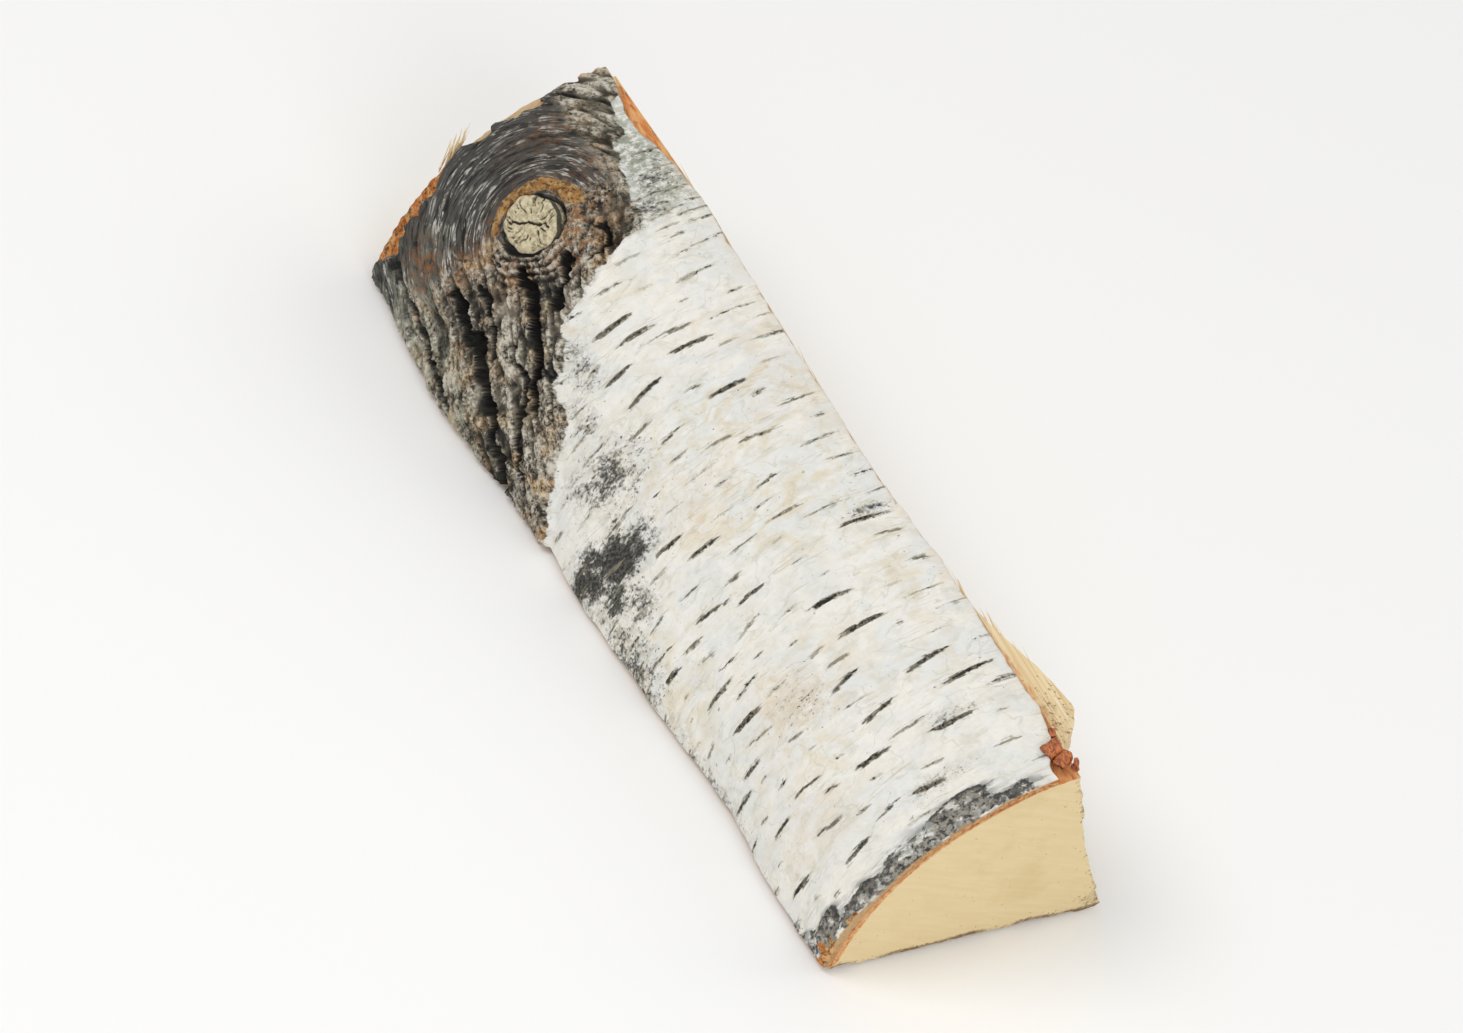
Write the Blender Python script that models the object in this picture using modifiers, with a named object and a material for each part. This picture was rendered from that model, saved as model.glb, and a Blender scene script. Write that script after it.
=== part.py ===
"""A split birch log, 25 cm long: a wedge of pale wood under a shell of white bark.

The log lies along X on its lower split face, with the bark facing -Y and up. The end at +X is the clean
sawn one. The end at -X carries the stub of a dead branch, with dark, ridged bark round it.
Across the log, a place is given by its distance from the pith line and by u, the share of the way
round the bark: 0 at the lower split face and 1 at the upper one. All lengths are in metres.
"""

import math
from dataclasses import dataclass

import bmesh
import bpy
from mathutils import Matrix, Vector, noise


@dataclass(frozen=True)
class Ripple:
    """Smooth unevenness: its height, how far apart its waves lie across and along the log, and a seed."""

    height: float
    across: float
    along: float
    seed: float

    def at(self, across, along):
        return self.height * noise.noise(Vector((across / self.across, along / self.along, self.seed)))


@dataclass(frozen=True)
class Swelling:
    """A rise that fades out on both sides: its height, where it is highest, and its reach."""

    height: float
    centre: float
    reach: float

    def at(self, place):
        return self.height * math.exp(-(((place - self.centre) / self.reach) ** 2))


@dataclass(frozen=True)
class Fissure:
    """A crack in the bark: depth, half width, and its course as distance from the knot end, and u."""

    depth: float
    half_width: float
    course: tuple


# The sawn billet
LENGTH = 0.250
LOWER_FACE = 0.086          # pith to bark along the face that the log lies on
UPPER_FACE = 0.070          # pith to bark along the other split face
SPLIT_ANGLE = math.radians(64)          # between the split faces at the clean end
SPLIT_RUN_IN = math.radians(3.5)        # how much the split closed on its way to the knot end
RUN_IN_MIDDLE = (0.6, 0.140, 0.200)     # share of that closing, and the distances from the knot end it took
RUN_IN_KNOT_END = (0.4, -0.010, 0.060)
ARC_BULGE = 0.0035          # how far the bark stands out of a straight run between those two radii
KNOT_END_GROWTH = 0.06      # the knot end is this much thicker than the clean end
UNEVEN_ROUND = Ripple(0.0012, 0.45, 0.060, 3.1)

# The bark's outline where it comes down to the floor, by distance from the knot end
FOOT_SWELLINGS = (
    Swelling(0.0046, 0.052, 0.030),
    Swelling(0.0026, 0.122, 0.022),
    Swelling(-0.0018, 0.200, 0.026),
)
FOOT_TOP = 0.30             # u where these have faded out

# The bark
BARK = 0.0030               # thickness where it is white and smooth
THINNEST_BARK = 0.0012
THICKEST_BARK = 0.0125
BARK_GAP = 0.0004           # between the bark's inner side and the wood
BARK_LOWER_EDGE = 0.022     # u where the bark begins, clear of the floor
BARK_UPPER_EDGE = 0.985     # u where it ends at the upper split face
LOWER_EDGE_WEAR = Ripple(0.008, 1.0, 0.013, 6.6)
UPPER_EDGE_WEAR = Ripple(0.010, 1.0, 0.016, 7.7)
KNOT_END_CHIP = Swelling(0.040, 0.018, 0.014)
CLEAN_END_CHIP = Swelling(0.075, 0.246, 0.011)
FOOT_WEAR = Ripple(0.0010, 1.0, 0.022, 8.4)
WHITE_WEAR = Ripple(0.0004, 0.014, 0.011, 9.2)
SAW_SPARE = 0.004           # what the saw takes off each end of the bark

# The dead branch
KNOT_X = -0.089
KNOT_U = 0.52
BRANCH_LEAN = 0.10          # how far it leans to the knot end for each unit outwards
STUB_RADIUS = 0.0082
STUB_TAPER = 0.8            # its radius at the root, as a share
STUB_OVAL = 0.05
STUB_OVAL_TURN = 0.7
STUB_LOBES = 0.03
STUB_PROUD = 0.0034         # above the smooth bark round it
STUB_ROOT = 0.030
STUB_EDGE = 0.0014
STUB_CRACK = (0.0012, 0.0107, 0.0040)   # across, along and through
STUB_CRACK_TURN = math.radians(52)
COLLAR_RADIUS = 0.0125
COLLAR_WIDTH = 0.0036
COLLAR_HEIGHT = 0.0032
HOLE_CLEARANCE = 0.0006
KNOT_SWELL = 0.0040
KNOT_SWELL_REACH = 0.030
RING_PITCH = 0.0072
RING_HEIGHT = 0.0008
RING_REACH = 0.034
RINGS_FROM = -0.012         # the rings lie on the knot end's side of the branch
RINGS_FULL = 0.006

# Where the rough, dark bark ends: distance from the knot end, and u
ROUGH_EDGE = ((-0.010, 1.10), (0.030, 0.86), (0.053, 0.78), (0.063, 0.47), (0.083, 0.33), (0.104, 0.00))
ROUGH_EDGE_LAST_SLOPE = 50.0
ROUGH_EDGE_RAGGED = Ripple(0.05, 0.0714, 0.007, 5.7)
ROUGH_BLEND = 0.09
ROUGH_LIFT = 0.0013
ROUGH_RELIEF = 0.0017       # mean height of the plates of rough bark
PLATES = Ripple(0.0015, 0.014, 0.045, 1.3)
PLATE_BEND = Ripple(0.007, 1.0, 0.040, 2.0)
PLATES_BEGIN = 0.022        # from the branch
FISSURES = (
    Fissure(0.0042, 0.0038, ((0.038, 0.30), (0.060, 0.21), (0.073, 0.13), (0.092, 0.05))),
    Fissure(0.0031, 0.0032, ((0.050, 0.44), (0.067, 0.31), (0.080, 0.19))),
    Fissure(0.0023, 0.0029, ((0.006, 0.13), (0.030, 0.10), (0.056, 0.05))),
)

# The lip of wood that the split left standing beside the bark, near the clean end
LIP_PROUD = 0.0062
LIP_START = 0.001           # distances from the clean end
LIP_PEAK = 0.016
LIP_RUN_OUT = 0.062
LIP_DEPTH = 0.034           # how far it goes in from the bark

# The two split faces
HOLLOW = Swelling(-0.0014, 0.034, 0.020)        # by distance from the pith line
PITH_EDGE = 0.0022          # the width of the blunt edge where they meet
BROAD_FIBRES = Ripple(0.0012, 0.016, 0.140, 11.0)
FINE_FIBRES = Ripple(0.0006, 0.0055, 0.060, 15.5)
FIBRE_FADE = 0.7            # the fibres lie this much flatter beside the bark
FIBRE_FADE_FROM = 0.012
FIBRE_FADE_TO = 0.004
REST_HALF_LENGTH = 0.060    # the flat that the log lies on
REST_NEAR_PITH = 0.020
REST_FAR_FROM_PITH = 0.068
REST_BLEND = 0.012
OFF_REST = 0.0010           # how far the rest of the lower face lies above the floor
LOWEST_FIBRE = -0.0008
LOWER_FIBRE_SEED = 10.0     # added to the place, so that the two faces differ
ARC_LIFTED_TO = 0.1         # u where the arc no longer follows the lower face

# How finely the shapes are cut
BARK_ALONG = 76
BARK_AROUND = 31
WOOD_ALONG = 50
ARC_STEPS = 19
UPPER_STEPS = 14
LOWER_STEPS = 14
STUB_SIDES = 24
FIRST_STEP = 0.62           # the steps at the knot end, as a share of the mean step
SHARP_FROM = math.radians(40)

BARK_WHITE = (0.78, 0.75, 0.69, 1.0)
WOOD_PALE = (0.74, 0.60, 0.38, 1.0)


def smooth_step(low, high, value):
    """0 below low, 1 above high, and a smooth rise between them."""
    share = min(1.0, max(0.0, (value - low) / (high - low)))
    return share * share * (3 - 2 * share)


def bump(distance, reach):
    """1 at no distance, and almost 0 beyond twice the reach."""
    return math.exp(-((distance / reach) ** 2))


def from_knot_end(x):
    return x + LENGTH / 2


def from_clean_end(x):
    return LENGTH / 2 - x


def split_angle(x):
    """Between the two split faces, at this place along the log."""
    open_share = 0.0
    for share, narrow, wide in (RUN_IN_MIDDLE, RUN_IN_KNOT_END):
        open_share += share * smooth_step(narrow, wide, from_knot_end(x))
    return SPLIT_ANGLE - SPLIT_RUN_IN * (1 - open_share)


def base_radius(u, x):
    """Pith to the outside of the smooth bark, without the swelling round the knot."""
    straight = LOWER_FACE + (UPPER_FACE - LOWER_FACE) * u + ARC_BULGE * 4 * u * (1 - u)
    grown = straight * (1 + KNOT_END_GROWTH * (0.5 - x / LENGTH))
    return grown + UNEVEN_ROUND.at(u, x)


def arc_length(u, x):
    """The way round the bark from the lower split face."""
    return u * split_angle(x) * base_radius(u, x)


def knot_offset(u, x):
    """From the knot's centre: along the log towards the knot end, and round the bark upwards."""
    return KNOT_X - x, arc_length(u, x) - arc_length(KNOT_U, KNOT_X)


def outer_radius(u, x):
    """Pith to the outside of the smooth bark."""
    foot = sum(swelling.at(from_knot_end(x)) for swelling in FOOT_SWELLINGS)
    swell = KNOT_SWELL * bump(math.hypot(*knot_offset(u, x)), KNOT_SWELL_REACH)
    return base_radius(u, x) + swell + foot * (1 - smooth_step(0.0, FOOT_TOP, u))


def place(u, x, radius):
    """A point at this distance from the pith line, in the direction of u."""
    angle = u * split_angle(x)
    return Vector((x, -radius * math.cos(angle), radius * math.sin(angle)))


def rough_share(u, x):
    """1 in the dark, rough bark and 0 in the white bark."""
    distance = from_knot_end(x)
    last_distance, last_u = ROUGH_EDGE[-1]
    edge = last_u - (distance - last_distance) * ROUGH_EDGE_LAST_SLOPE
    for (d0, u0), (d1, u1) in zip(ROUGH_EDGE, ROUGH_EDGE[1:]):
        if d0 <= distance <= d1:
            edge = u0 + (u1 - u0) * (distance - d0) / (d1 - d0)
    inside = edge + ROUGH_EDGE_RAGGED.at(u, x) - u
    return smooth_step(-ROUGH_BLEND / 2, ROUGH_BLEND / 2, inside)


def fissure_depth(u, x):
    """How deep the cracks cut here."""
    here = Vector((from_knot_end(x), arc_length(u, x)))
    deepest = 0.0
    for fissure in FISSURES:
        points = [Vector((d, arc_length(v, d - LENGTH / 2))) for d, v in fissure.course]
        for start, end in zip(points, points[1:]):
            run = end - start
            share = min(1.0, max(0.0, (here - start).dot(run) / run.length_squared))
            gap = (here - start - run * share).length
            deepest = max(deepest, fissure.depth * bump(gap, fissure.half_width))
    return deepest


def bark_thickness(u, x):
    """The bark's thickness, which carries all of its relief."""
    rough = rough_share(u, x)
    arc = arc_length(u, x)
    along, around = knot_offset(u, x)
    distance = math.hypot(along, around)
    relief = ROUGH_RELIEF + PLATES.at(arc + PLATE_BEND.at(0, x), x)
    rings = math.cos(math.tau * distance / RING_PITCH) * bump(distance, RING_REACH)
    thickness = (
        BARK
        + rough * (ROUGH_LIFT + relief * (1 - bump(distance, PLATES_BEGIN)))
        + rough * smooth_step(RINGS_FROM, RINGS_FULL, along) * RING_HEIGHT * rings
        + COLLAR_HEIGHT * bump(distance - COLLAR_RADIUS, COLLAR_WIDTH)
        - rough * fissure_depth(u, x)
        + FOOT_WEAR.at(0, x) * (1 - smooth_step(0.0, FOOT_TOP, u))
        + WHITE_WEAR.at(arc, x) * (1 - rough)
    )
    return min(THICKEST_BARK, max(THINNEST_BARK, thickness))


def wood_radius(u, x):
    """Pith to the outside of the wood under the bark."""
    return outer_radius(u, x) - BARK - BARK_GAP


def fibres(across, x):
    """Height of the torn fibres on a split face: ridges that run far along the grain."""
    return BROAD_FIBRES.at(across, x) + FINE_FIBRES.at(across, x)


def upper_face_height(radius, x):
    """How far the upper split face stands out at this distance from the pith line."""
    distance = from_clean_end(x)
    rise = smooth_step(LIP_START, LIP_PEAK, distance) * (1 - smooth_step(LIP_PEAK, LIP_RUN_OUT, distance))
    lip = LIP_PROUD * rise * smooth_step(UPPER_FACE - LIP_DEPTH, UPPER_FACE, radius)
    beside_bark = smooth_step(UPPER_FACE - FIBRE_FADE_FROM, UPPER_FACE - FIBRE_FADE_TO, radius)
    torn = fibres(radius, x) * (1 - FIBRE_FADE * beside_bark)
    return lip + HOLLOW.at(radius) + torn


def upper_face_point(share, x):
    """A point of the upper split face, share of the way out to the bark, with the lip on the wood's round."""
    edge = wood_radius(1, x)
    radius = PITH_EDGE + (edge - PITH_EDGE) * share
    height = upper_face_height(radius, x)
    angle = split_angle(x)
    drop = height * height / (2 * edge) + edge - wood_radius(1 + height / (edge * angle), x)
    outward = Vector((0, math.sin(angle), math.cos(angle)))
    return place(1, x, radius - drop * share) + outward * height


def lower_face_recess(radius, x):
    """How far the lower split face lies above the floor. It is nothing on the flat under the weight."""
    off_side = smooth_step(0, REST_BLEND, REST_NEAR_PITH - radius)
    off_side += smooth_step(0, REST_BLEND, radius - REST_FAR_FROM_PITH)
    off_end = smooth_step(0, 2 * REST_BLEND, abs(x) - REST_HALF_LENGTH)
    torn = max(LOWEST_FIBRE, fibres(radius + LOWER_FIBRE_SEED, x))
    return min(1.0, off_side + off_end) * (OFF_REST + torn)


def graded(share):
    """Steps made shorter at the knot end and beside the floor, where the shapes are finer."""
    return share * (FIRST_STEP + (1 - FIRST_STEP) * share)


def new_object(name, mesh, collection, parent=None):
    made = bpy.data.objects.new(name, mesh)
    made.parent = parent
    collection.objects.link(made)
    return made


def mesh_from(bm, name):
    mesh = bpy.data.meshes.new(name)
    bm.to_mesh(mesh)
    bm.free()
    mesh.shade_smooth()
    mesh.set_sharp_from_angle(angle=SHARP_FROM)
    return mesh


def finish(name, colour, roughness):
    material = bpy.data.materials.new(name)
    material.diffuse_color = colour
    material.use_nodes = True
    shader = material.node_tree.nodes["Principled BSDF"]
    shader.inputs["Base Color"].default_value = colour
    shader.inputs["Roughness"].default_value = roughness
    shader.inputs["Metallic"].default_value = 0.0
    return material


def wood_outline(step, x):
    """The wood's section: round the arc, back along the upper split face, out along the lower one."""
    if step < ARC_STEPS:
        u = step / ARC_STEPS
        recess = lower_face_recess(wood_radius(0, x), x) * (1 - smooth_step(0, ARC_LIFTED_TO, u))
        return place(u, x, wood_radius(u, x)) + Vector((0, 0, recess))
    step -= ARC_STEPS
    if step <= UPPER_STEPS:
        return upper_face_point(1 - step / UPPER_STEPS, x)
    step -= UPPER_STEPS + 1
    radius = PITH_EDGE + (wood_radius(0, x) - PITH_EDGE) * step / LOWER_STEPS
    return place(0, x, radius) + Vector((0, 0, lower_face_recess(radius, x)))


def make_wood(collection, parent):
    """The wedge: a many-sided cylinder cut into stations and moved onto the split section."""
    sides = ARC_STEPS + UPPER_STEPS + 1 + LOWER_STEPS
    bm = bmesh.new()
    bmesh.ops.create_cone(bm, cap_ends=True, segments=sides, radius1=1, radius2=1, depth=1)
    lengthwise = [edge for edge in bm.edges if edge.verts[0].co.z != edge.verts[1].co.z]
    bmesh.ops.subdivide_edges(bm, edges=lengthwise, cuts=WOOD_ALONG - 1)
    for vertex in bm.verts:
        turn = math.atan2(vertex.co.y, vertex.co.x) / math.tau
        x = LENGTH * (graded(vertex.co.z + 0.5) - 0.5)
        vertex.co = wood_outline(round(turn * sides) % sides, x)
    bmesh.ops.recalc_face_normals(bm, faces=bm.faces)
    wood = new_object("wood", mesh_from(bm, "wood"), collection, parent)
    wood.data.materials.append(finish("pale birch wood", WOOD_PALE, 0.75))
    return wood


def bark_edges(x):
    """The u of the bark's lower and upper edges at this place along the log."""
    chip = KNOT_END_CHIP.at(from_knot_end(x)) + CLEAN_END_CHIP.at(from_knot_end(x))
    return BARK_LOWER_EDGE + LOWER_EDGE_WEAR.at(0, x), BARK_UPPER_EDGE + UPPER_EDGE_WEAR.at(0, x) - chip


def make_bark(collection, parent):
    """The bark: an open sheet on the wood, thickened outwards by its own relief."""
    bm = bmesh.new()
    bmesh.ops.create_grid(bm, x_segments=BARK_ALONG, y_segments=BARK_AROUND, size=0.5)
    length = LENGTH + 2 * SAW_SPARE
    thickness = []
    for vertex in bm.verts:
        x = length * (graded(vertex.co.x + 0.5) - 0.5)
        low, high = bark_edges(x)
        u = low + (high - low) * graded(vertex.co.y + 0.5)
        vertex.co = place(u, x, wood_radius(u, x) + BARK_GAP)
        thickness.append(bark_thickness(u, x))
    bark = new_object("bark", mesh_from(bm, "bark"), collection, parent)
    bark.data.materials.append(finish("white birch bark", BARK_WHITE, 0.7))
    relief = bark.vertex_groups.new(name="thickness")
    for index, value in enumerate(thickness):
        relief.add([index], value / THICKEST_BARK, "REPLACE")
    shell = bark.modifiers.new("thickness", "SOLIDIFY")
    shell.thickness = THICKEST_BARK
    shell.offset = 1
    shell.vertex_group = relief.name
    return bark


def branch_pose():
    """The branch's own frame: its root is in the wood and Z runs out along it."""
    foot = place(KNOT_U, KNOT_X, outer_radius(KNOT_U, KNOT_X))
    angle = KNOT_U * split_angle(KNOT_X)
    outward = Vector((-BRANCH_LEAN, -math.cos(angle), math.sin(angle))).normalized()
    return Matrix.Translation(foot) @ outward.to_track_quat("Z", "X").to_matrix().to_4x4()


def stub_mesh(name, extra):
    """The branch's round, a little uneven, narrower at its root and worn at its rim."""
    reach = STUB_ROOT + STUB_PROUD + 4 * extra
    bm = bmesh.new()
    bmesh.ops.create_cone(
        bm,
        cap_ends=True,
        segments=STUB_SIDES,
        radius1=STUB_RADIUS * STUB_TAPER + extra,
        radius2=STUB_RADIUS + extra,
        depth=reach,
    )
    rim = [edge for edge in bm.edges if min(vertex.co.z for vertex in edge.verts) > 0]
    bmesh.ops.bevel(bm, geom=rim, offset=STUB_EDGE, segments=2, profile=0.5, affect="EDGES", material=-1)
    bmesh.ops.translate(bm, verts=bm.verts, vec=(0, 0, reach / 2 - STUB_ROOT))
    for vertex in bm.verts:
        turn = math.atan2(vertex.co.y, vertex.co.x)
        oval = STUB_OVAL * math.sin(2 * turn + STUB_OVAL_TURN)
        vertex.co.xy *= 1 + oval + STUB_LOBES * math.sin(5 * turn)
    return mesh_from(bm, name)


def box_mesh(name, size):
    bm = bmesh.new()
    bmesh.ops.create_cube(bm, size=1)
    bmesh.ops.scale(bm, verts=bm.verts, vec=size)
    return mesh_from(bm, name)


def make_cutters(collection, parent):
    """The shapes that join or cut the two pieces: the stub, its hole, the crack in it and the saw."""
    pose = branch_pose()
    stub = new_object("stub_tool", stub_mesh("stub_tool", 0.0), collection, parent)
    stub.matrix_local = pose
    hole = new_object("hole_tool", stub_mesh("hole_tool", HOLE_CLEARANCE), collection, parent)
    hole.matrix_local = pose
    crack = new_object("crack_tool", box_mesh("crack_tool", STUB_CRACK), collection, parent)
    turned = Matrix.Rotation(STUB_CRACK_TURN, 4, "Z")
    crack.matrix_local = pose @ Matrix.Translation((0, 0, STUB_PROUD)) @ turned
    billet = (LENGTH, 4 * LOWER_FACE, 4 * LOWER_FACE)
    saw = new_object("saw_tool", box_mesh("saw_tool", billet), collection, parent)
    for tool in (stub, hole, crack, saw):
        tool.hide_render = True
        tool.display_type = "WIRE"
    return stub, hole, crack, saw


def add_boolean(target, tool, operation):
    modifier = target.modifiers.new(tool.name, "BOOLEAN")
    modifier.operation = operation
    modifier.solver = "EXACT"
    modifier.object = tool


def set_on_floor(root, pieces):
    """Moves the log so that its box stands centred over the origin."""
    bpy.context.view_layer.update()
    graph = bpy.context.evaluated_depsgraph_get()
    corners = []
    for piece in pieces:
        seen = piece.evaluated_get(graph)
        corners += [seen.matrix_world @ vertex.co for vertex in seen.data.vertices]
    low = Vector(min(corner[i] for corner in corners) for i in range(3))
    high = Vector(max(corner[i] for corner in corners) for i in range(3))
    root.location = Vector((-(low.x + high.x) / 2, -(low.y + high.y) / 2, -low.z))
    bpy.context.view_layer.update()


def main():
    for old in list(bpy.data.objects):
        bpy.data.objects.remove(old, do_unlink=True)
    log = bpy.data.collections.new("birch log")
    tools = bpy.data.collections.new("cutters")
    for collection in (log, tools):
        bpy.context.scene.collection.children.link(collection)
    root = new_object("log", None, log)

    wood = make_wood(log, root)
    bark = make_bark(log, root)
    stub, hole, crack, saw = make_cutters(tools, root)
    add_boolean(wood, stub, "UNION")
    add_boolean(wood, crack, "DIFFERENCE")
    add_boolean(bark, hole, "DIFFERENCE")
    add_boolean(bark, saw, "INTERSECT")
    set_on_floor(root, [wood, bark])


main()
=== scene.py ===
"""The looks of a split birch log: white bark with dark dashes, rough bark round a dead branch, the pale
wood, the branch's stub, and the splinters and curls that the splitting left.

The log lies along X on its lower split face, with the bark facing -Y and up. The clean sawn end is at +X
and the knot end at -X. Across the log, a place is given by its distance from the pith line and by u, the
share of the way round the bark: 0 at the lower split face and 1 at the upper one. Lengths are in metres.
"""

import logging
import math
import random
from dataclasses import dataclass
from enum import Enum
from typing import Optional, Sequence

import bmesh
import bpy
import numpy as np
from mathutils import Matrix, Vector, noise

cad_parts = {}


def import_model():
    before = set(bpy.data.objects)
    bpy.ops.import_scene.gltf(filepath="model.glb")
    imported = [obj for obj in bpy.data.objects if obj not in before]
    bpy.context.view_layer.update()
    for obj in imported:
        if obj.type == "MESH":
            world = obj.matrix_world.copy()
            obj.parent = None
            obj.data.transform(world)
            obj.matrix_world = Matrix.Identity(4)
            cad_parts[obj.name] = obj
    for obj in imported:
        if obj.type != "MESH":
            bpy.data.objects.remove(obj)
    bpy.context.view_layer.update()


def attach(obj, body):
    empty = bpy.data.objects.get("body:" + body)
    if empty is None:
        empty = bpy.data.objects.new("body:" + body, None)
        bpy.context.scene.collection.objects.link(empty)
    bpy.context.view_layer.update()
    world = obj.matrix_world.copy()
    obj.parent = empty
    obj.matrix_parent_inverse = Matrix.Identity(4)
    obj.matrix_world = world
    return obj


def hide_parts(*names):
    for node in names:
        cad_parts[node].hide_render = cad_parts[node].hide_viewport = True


LOG = logging.getLogger("birch_log")
BODY = "root"
MM = 0.001

Colour = tuple[float, float, float, float]
Course = tuple[tuple[float, float], ...]
Scale = float | tuple[float, float, float]


class Slot(Enum):
    """Names of the material slots."""

    WOOD = "wood"
    BARK = "bark"


def smooth_step(low: float, high: float, value: np.ndarray) -> np.ndarray:
    """0 below low, 1 above high, and a smooth rise between them."""
    share = np.clip((np.asarray(value, float) - low) / (high - low), 0.0, 1.0)
    return share * share * (3 - 2 * share)


def bump(distance: np.ndarray, reach: float) -> np.ndarray:
    """1 at no distance, and almost 0 beyond twice the reach."""
    return np.exp(-((np.asarray(distance, float) / reach) ** 2))


def follow(course: Course, place: np.ndarray) -> np.ndarray:
    """A course's second value at these places, which are given in its first."""
    return np.interp(place, *zip(*course))


def smooth_noise(points: np.ndarray) -> np.ndarray:
    """Smooth noise between about -1 and 1 at each point of an array whose last axis is x, y, z."""
    flat = [noise.noise(point) for point in points.reshape(-1, 3).tolist()]
    return np.array(flat).reshape(points.shape[:-1])


@dataclass(frozen=True)
class Ripple:
    """Smooth unevenness: its height, how far apart its waves lie across and along the log, and a seed."""

    height: float
    across: float
    along: float
    seed: float

    def at(self, across: np.ndarray, along: np.ndarray) -> np.ndarray:
        """Its height at these places.

        Args:
            across: The way across the log, or round it.
            along: The way along the log.

        Returns:
            The heights, in the shape of the two arrays together.
        """
        across, along = np.broadcast_arrays(np.asarray(across, float), np.asarray(along, float))
        seeds = np.full(across.shape, self.seed)
        points = np.stack([across / self.across, along / self.along, seeds], axis=-1)
        return self.height * smooth_noise(points)


@dataclass(frozen=True)
class Grain:
    """Unevenness that is drawn out along the bark's flow: its height, width, length and seed."""

    height: float
    across: float
    along: float
    seed: float

    def cells(self, flow: np.ndarray) -> np.ndarray:
        """Places given by their flow, in units of the unevenness."""
        return flow / np.array([self.across, self.along, self.along]) + self.seed

    def at(self, flow: np.ndarray) -> np.ndarray:
        """Its height at places given by their flow, whose last axis is the line, along, and around."""
        return self.height * smooth_noise(self.cells(flow))

    def ridged(self, flow: np.ndarray) -> np.ndarray:
        """The same with sharp crests: its height on a crest and nothing or less between them."""
        return self.height * (1 - 3.0 * np.abs(smooth_noise(self.cells(flow))))

    def plates(self, flow: np.ndarray, crack: float) -> np.ndarray:
        """0 inside plates, and its height taken away in the cracks between them."""
        cells = self.cells(flow)
        gaps = []
        for point in cells.reshape(-1, 3).tolist():
            distances = noise.voronoi(point)[0]
            gaps.append(distances[1] - distances[0])
        gap = np.array(gaps).reshape(cells.shape[:-1])
        return -self.height * (1 - smooth_step(0.0, crack, gap))


@dataclass(frozen=True)
class Swelling:
    """A rise that fades out on both sides: its height, where it is highest, and its reach."""

    height: float
    centre: float
    reach: float

    def at(self, place: np.ndarray) -> np.ndarray:
        """Its height at these places."""
        return self.height * bump(np.asarray(place, float) - self.centre, self.reach)


@dataclass(frozen=True)
class Patch:
    """A soft-edged patch on the bark: distance from the knot end, u, its two reaches, and its strength."""

    distance: float
    u: float
    along: float
    around: float
    strength: float


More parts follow.
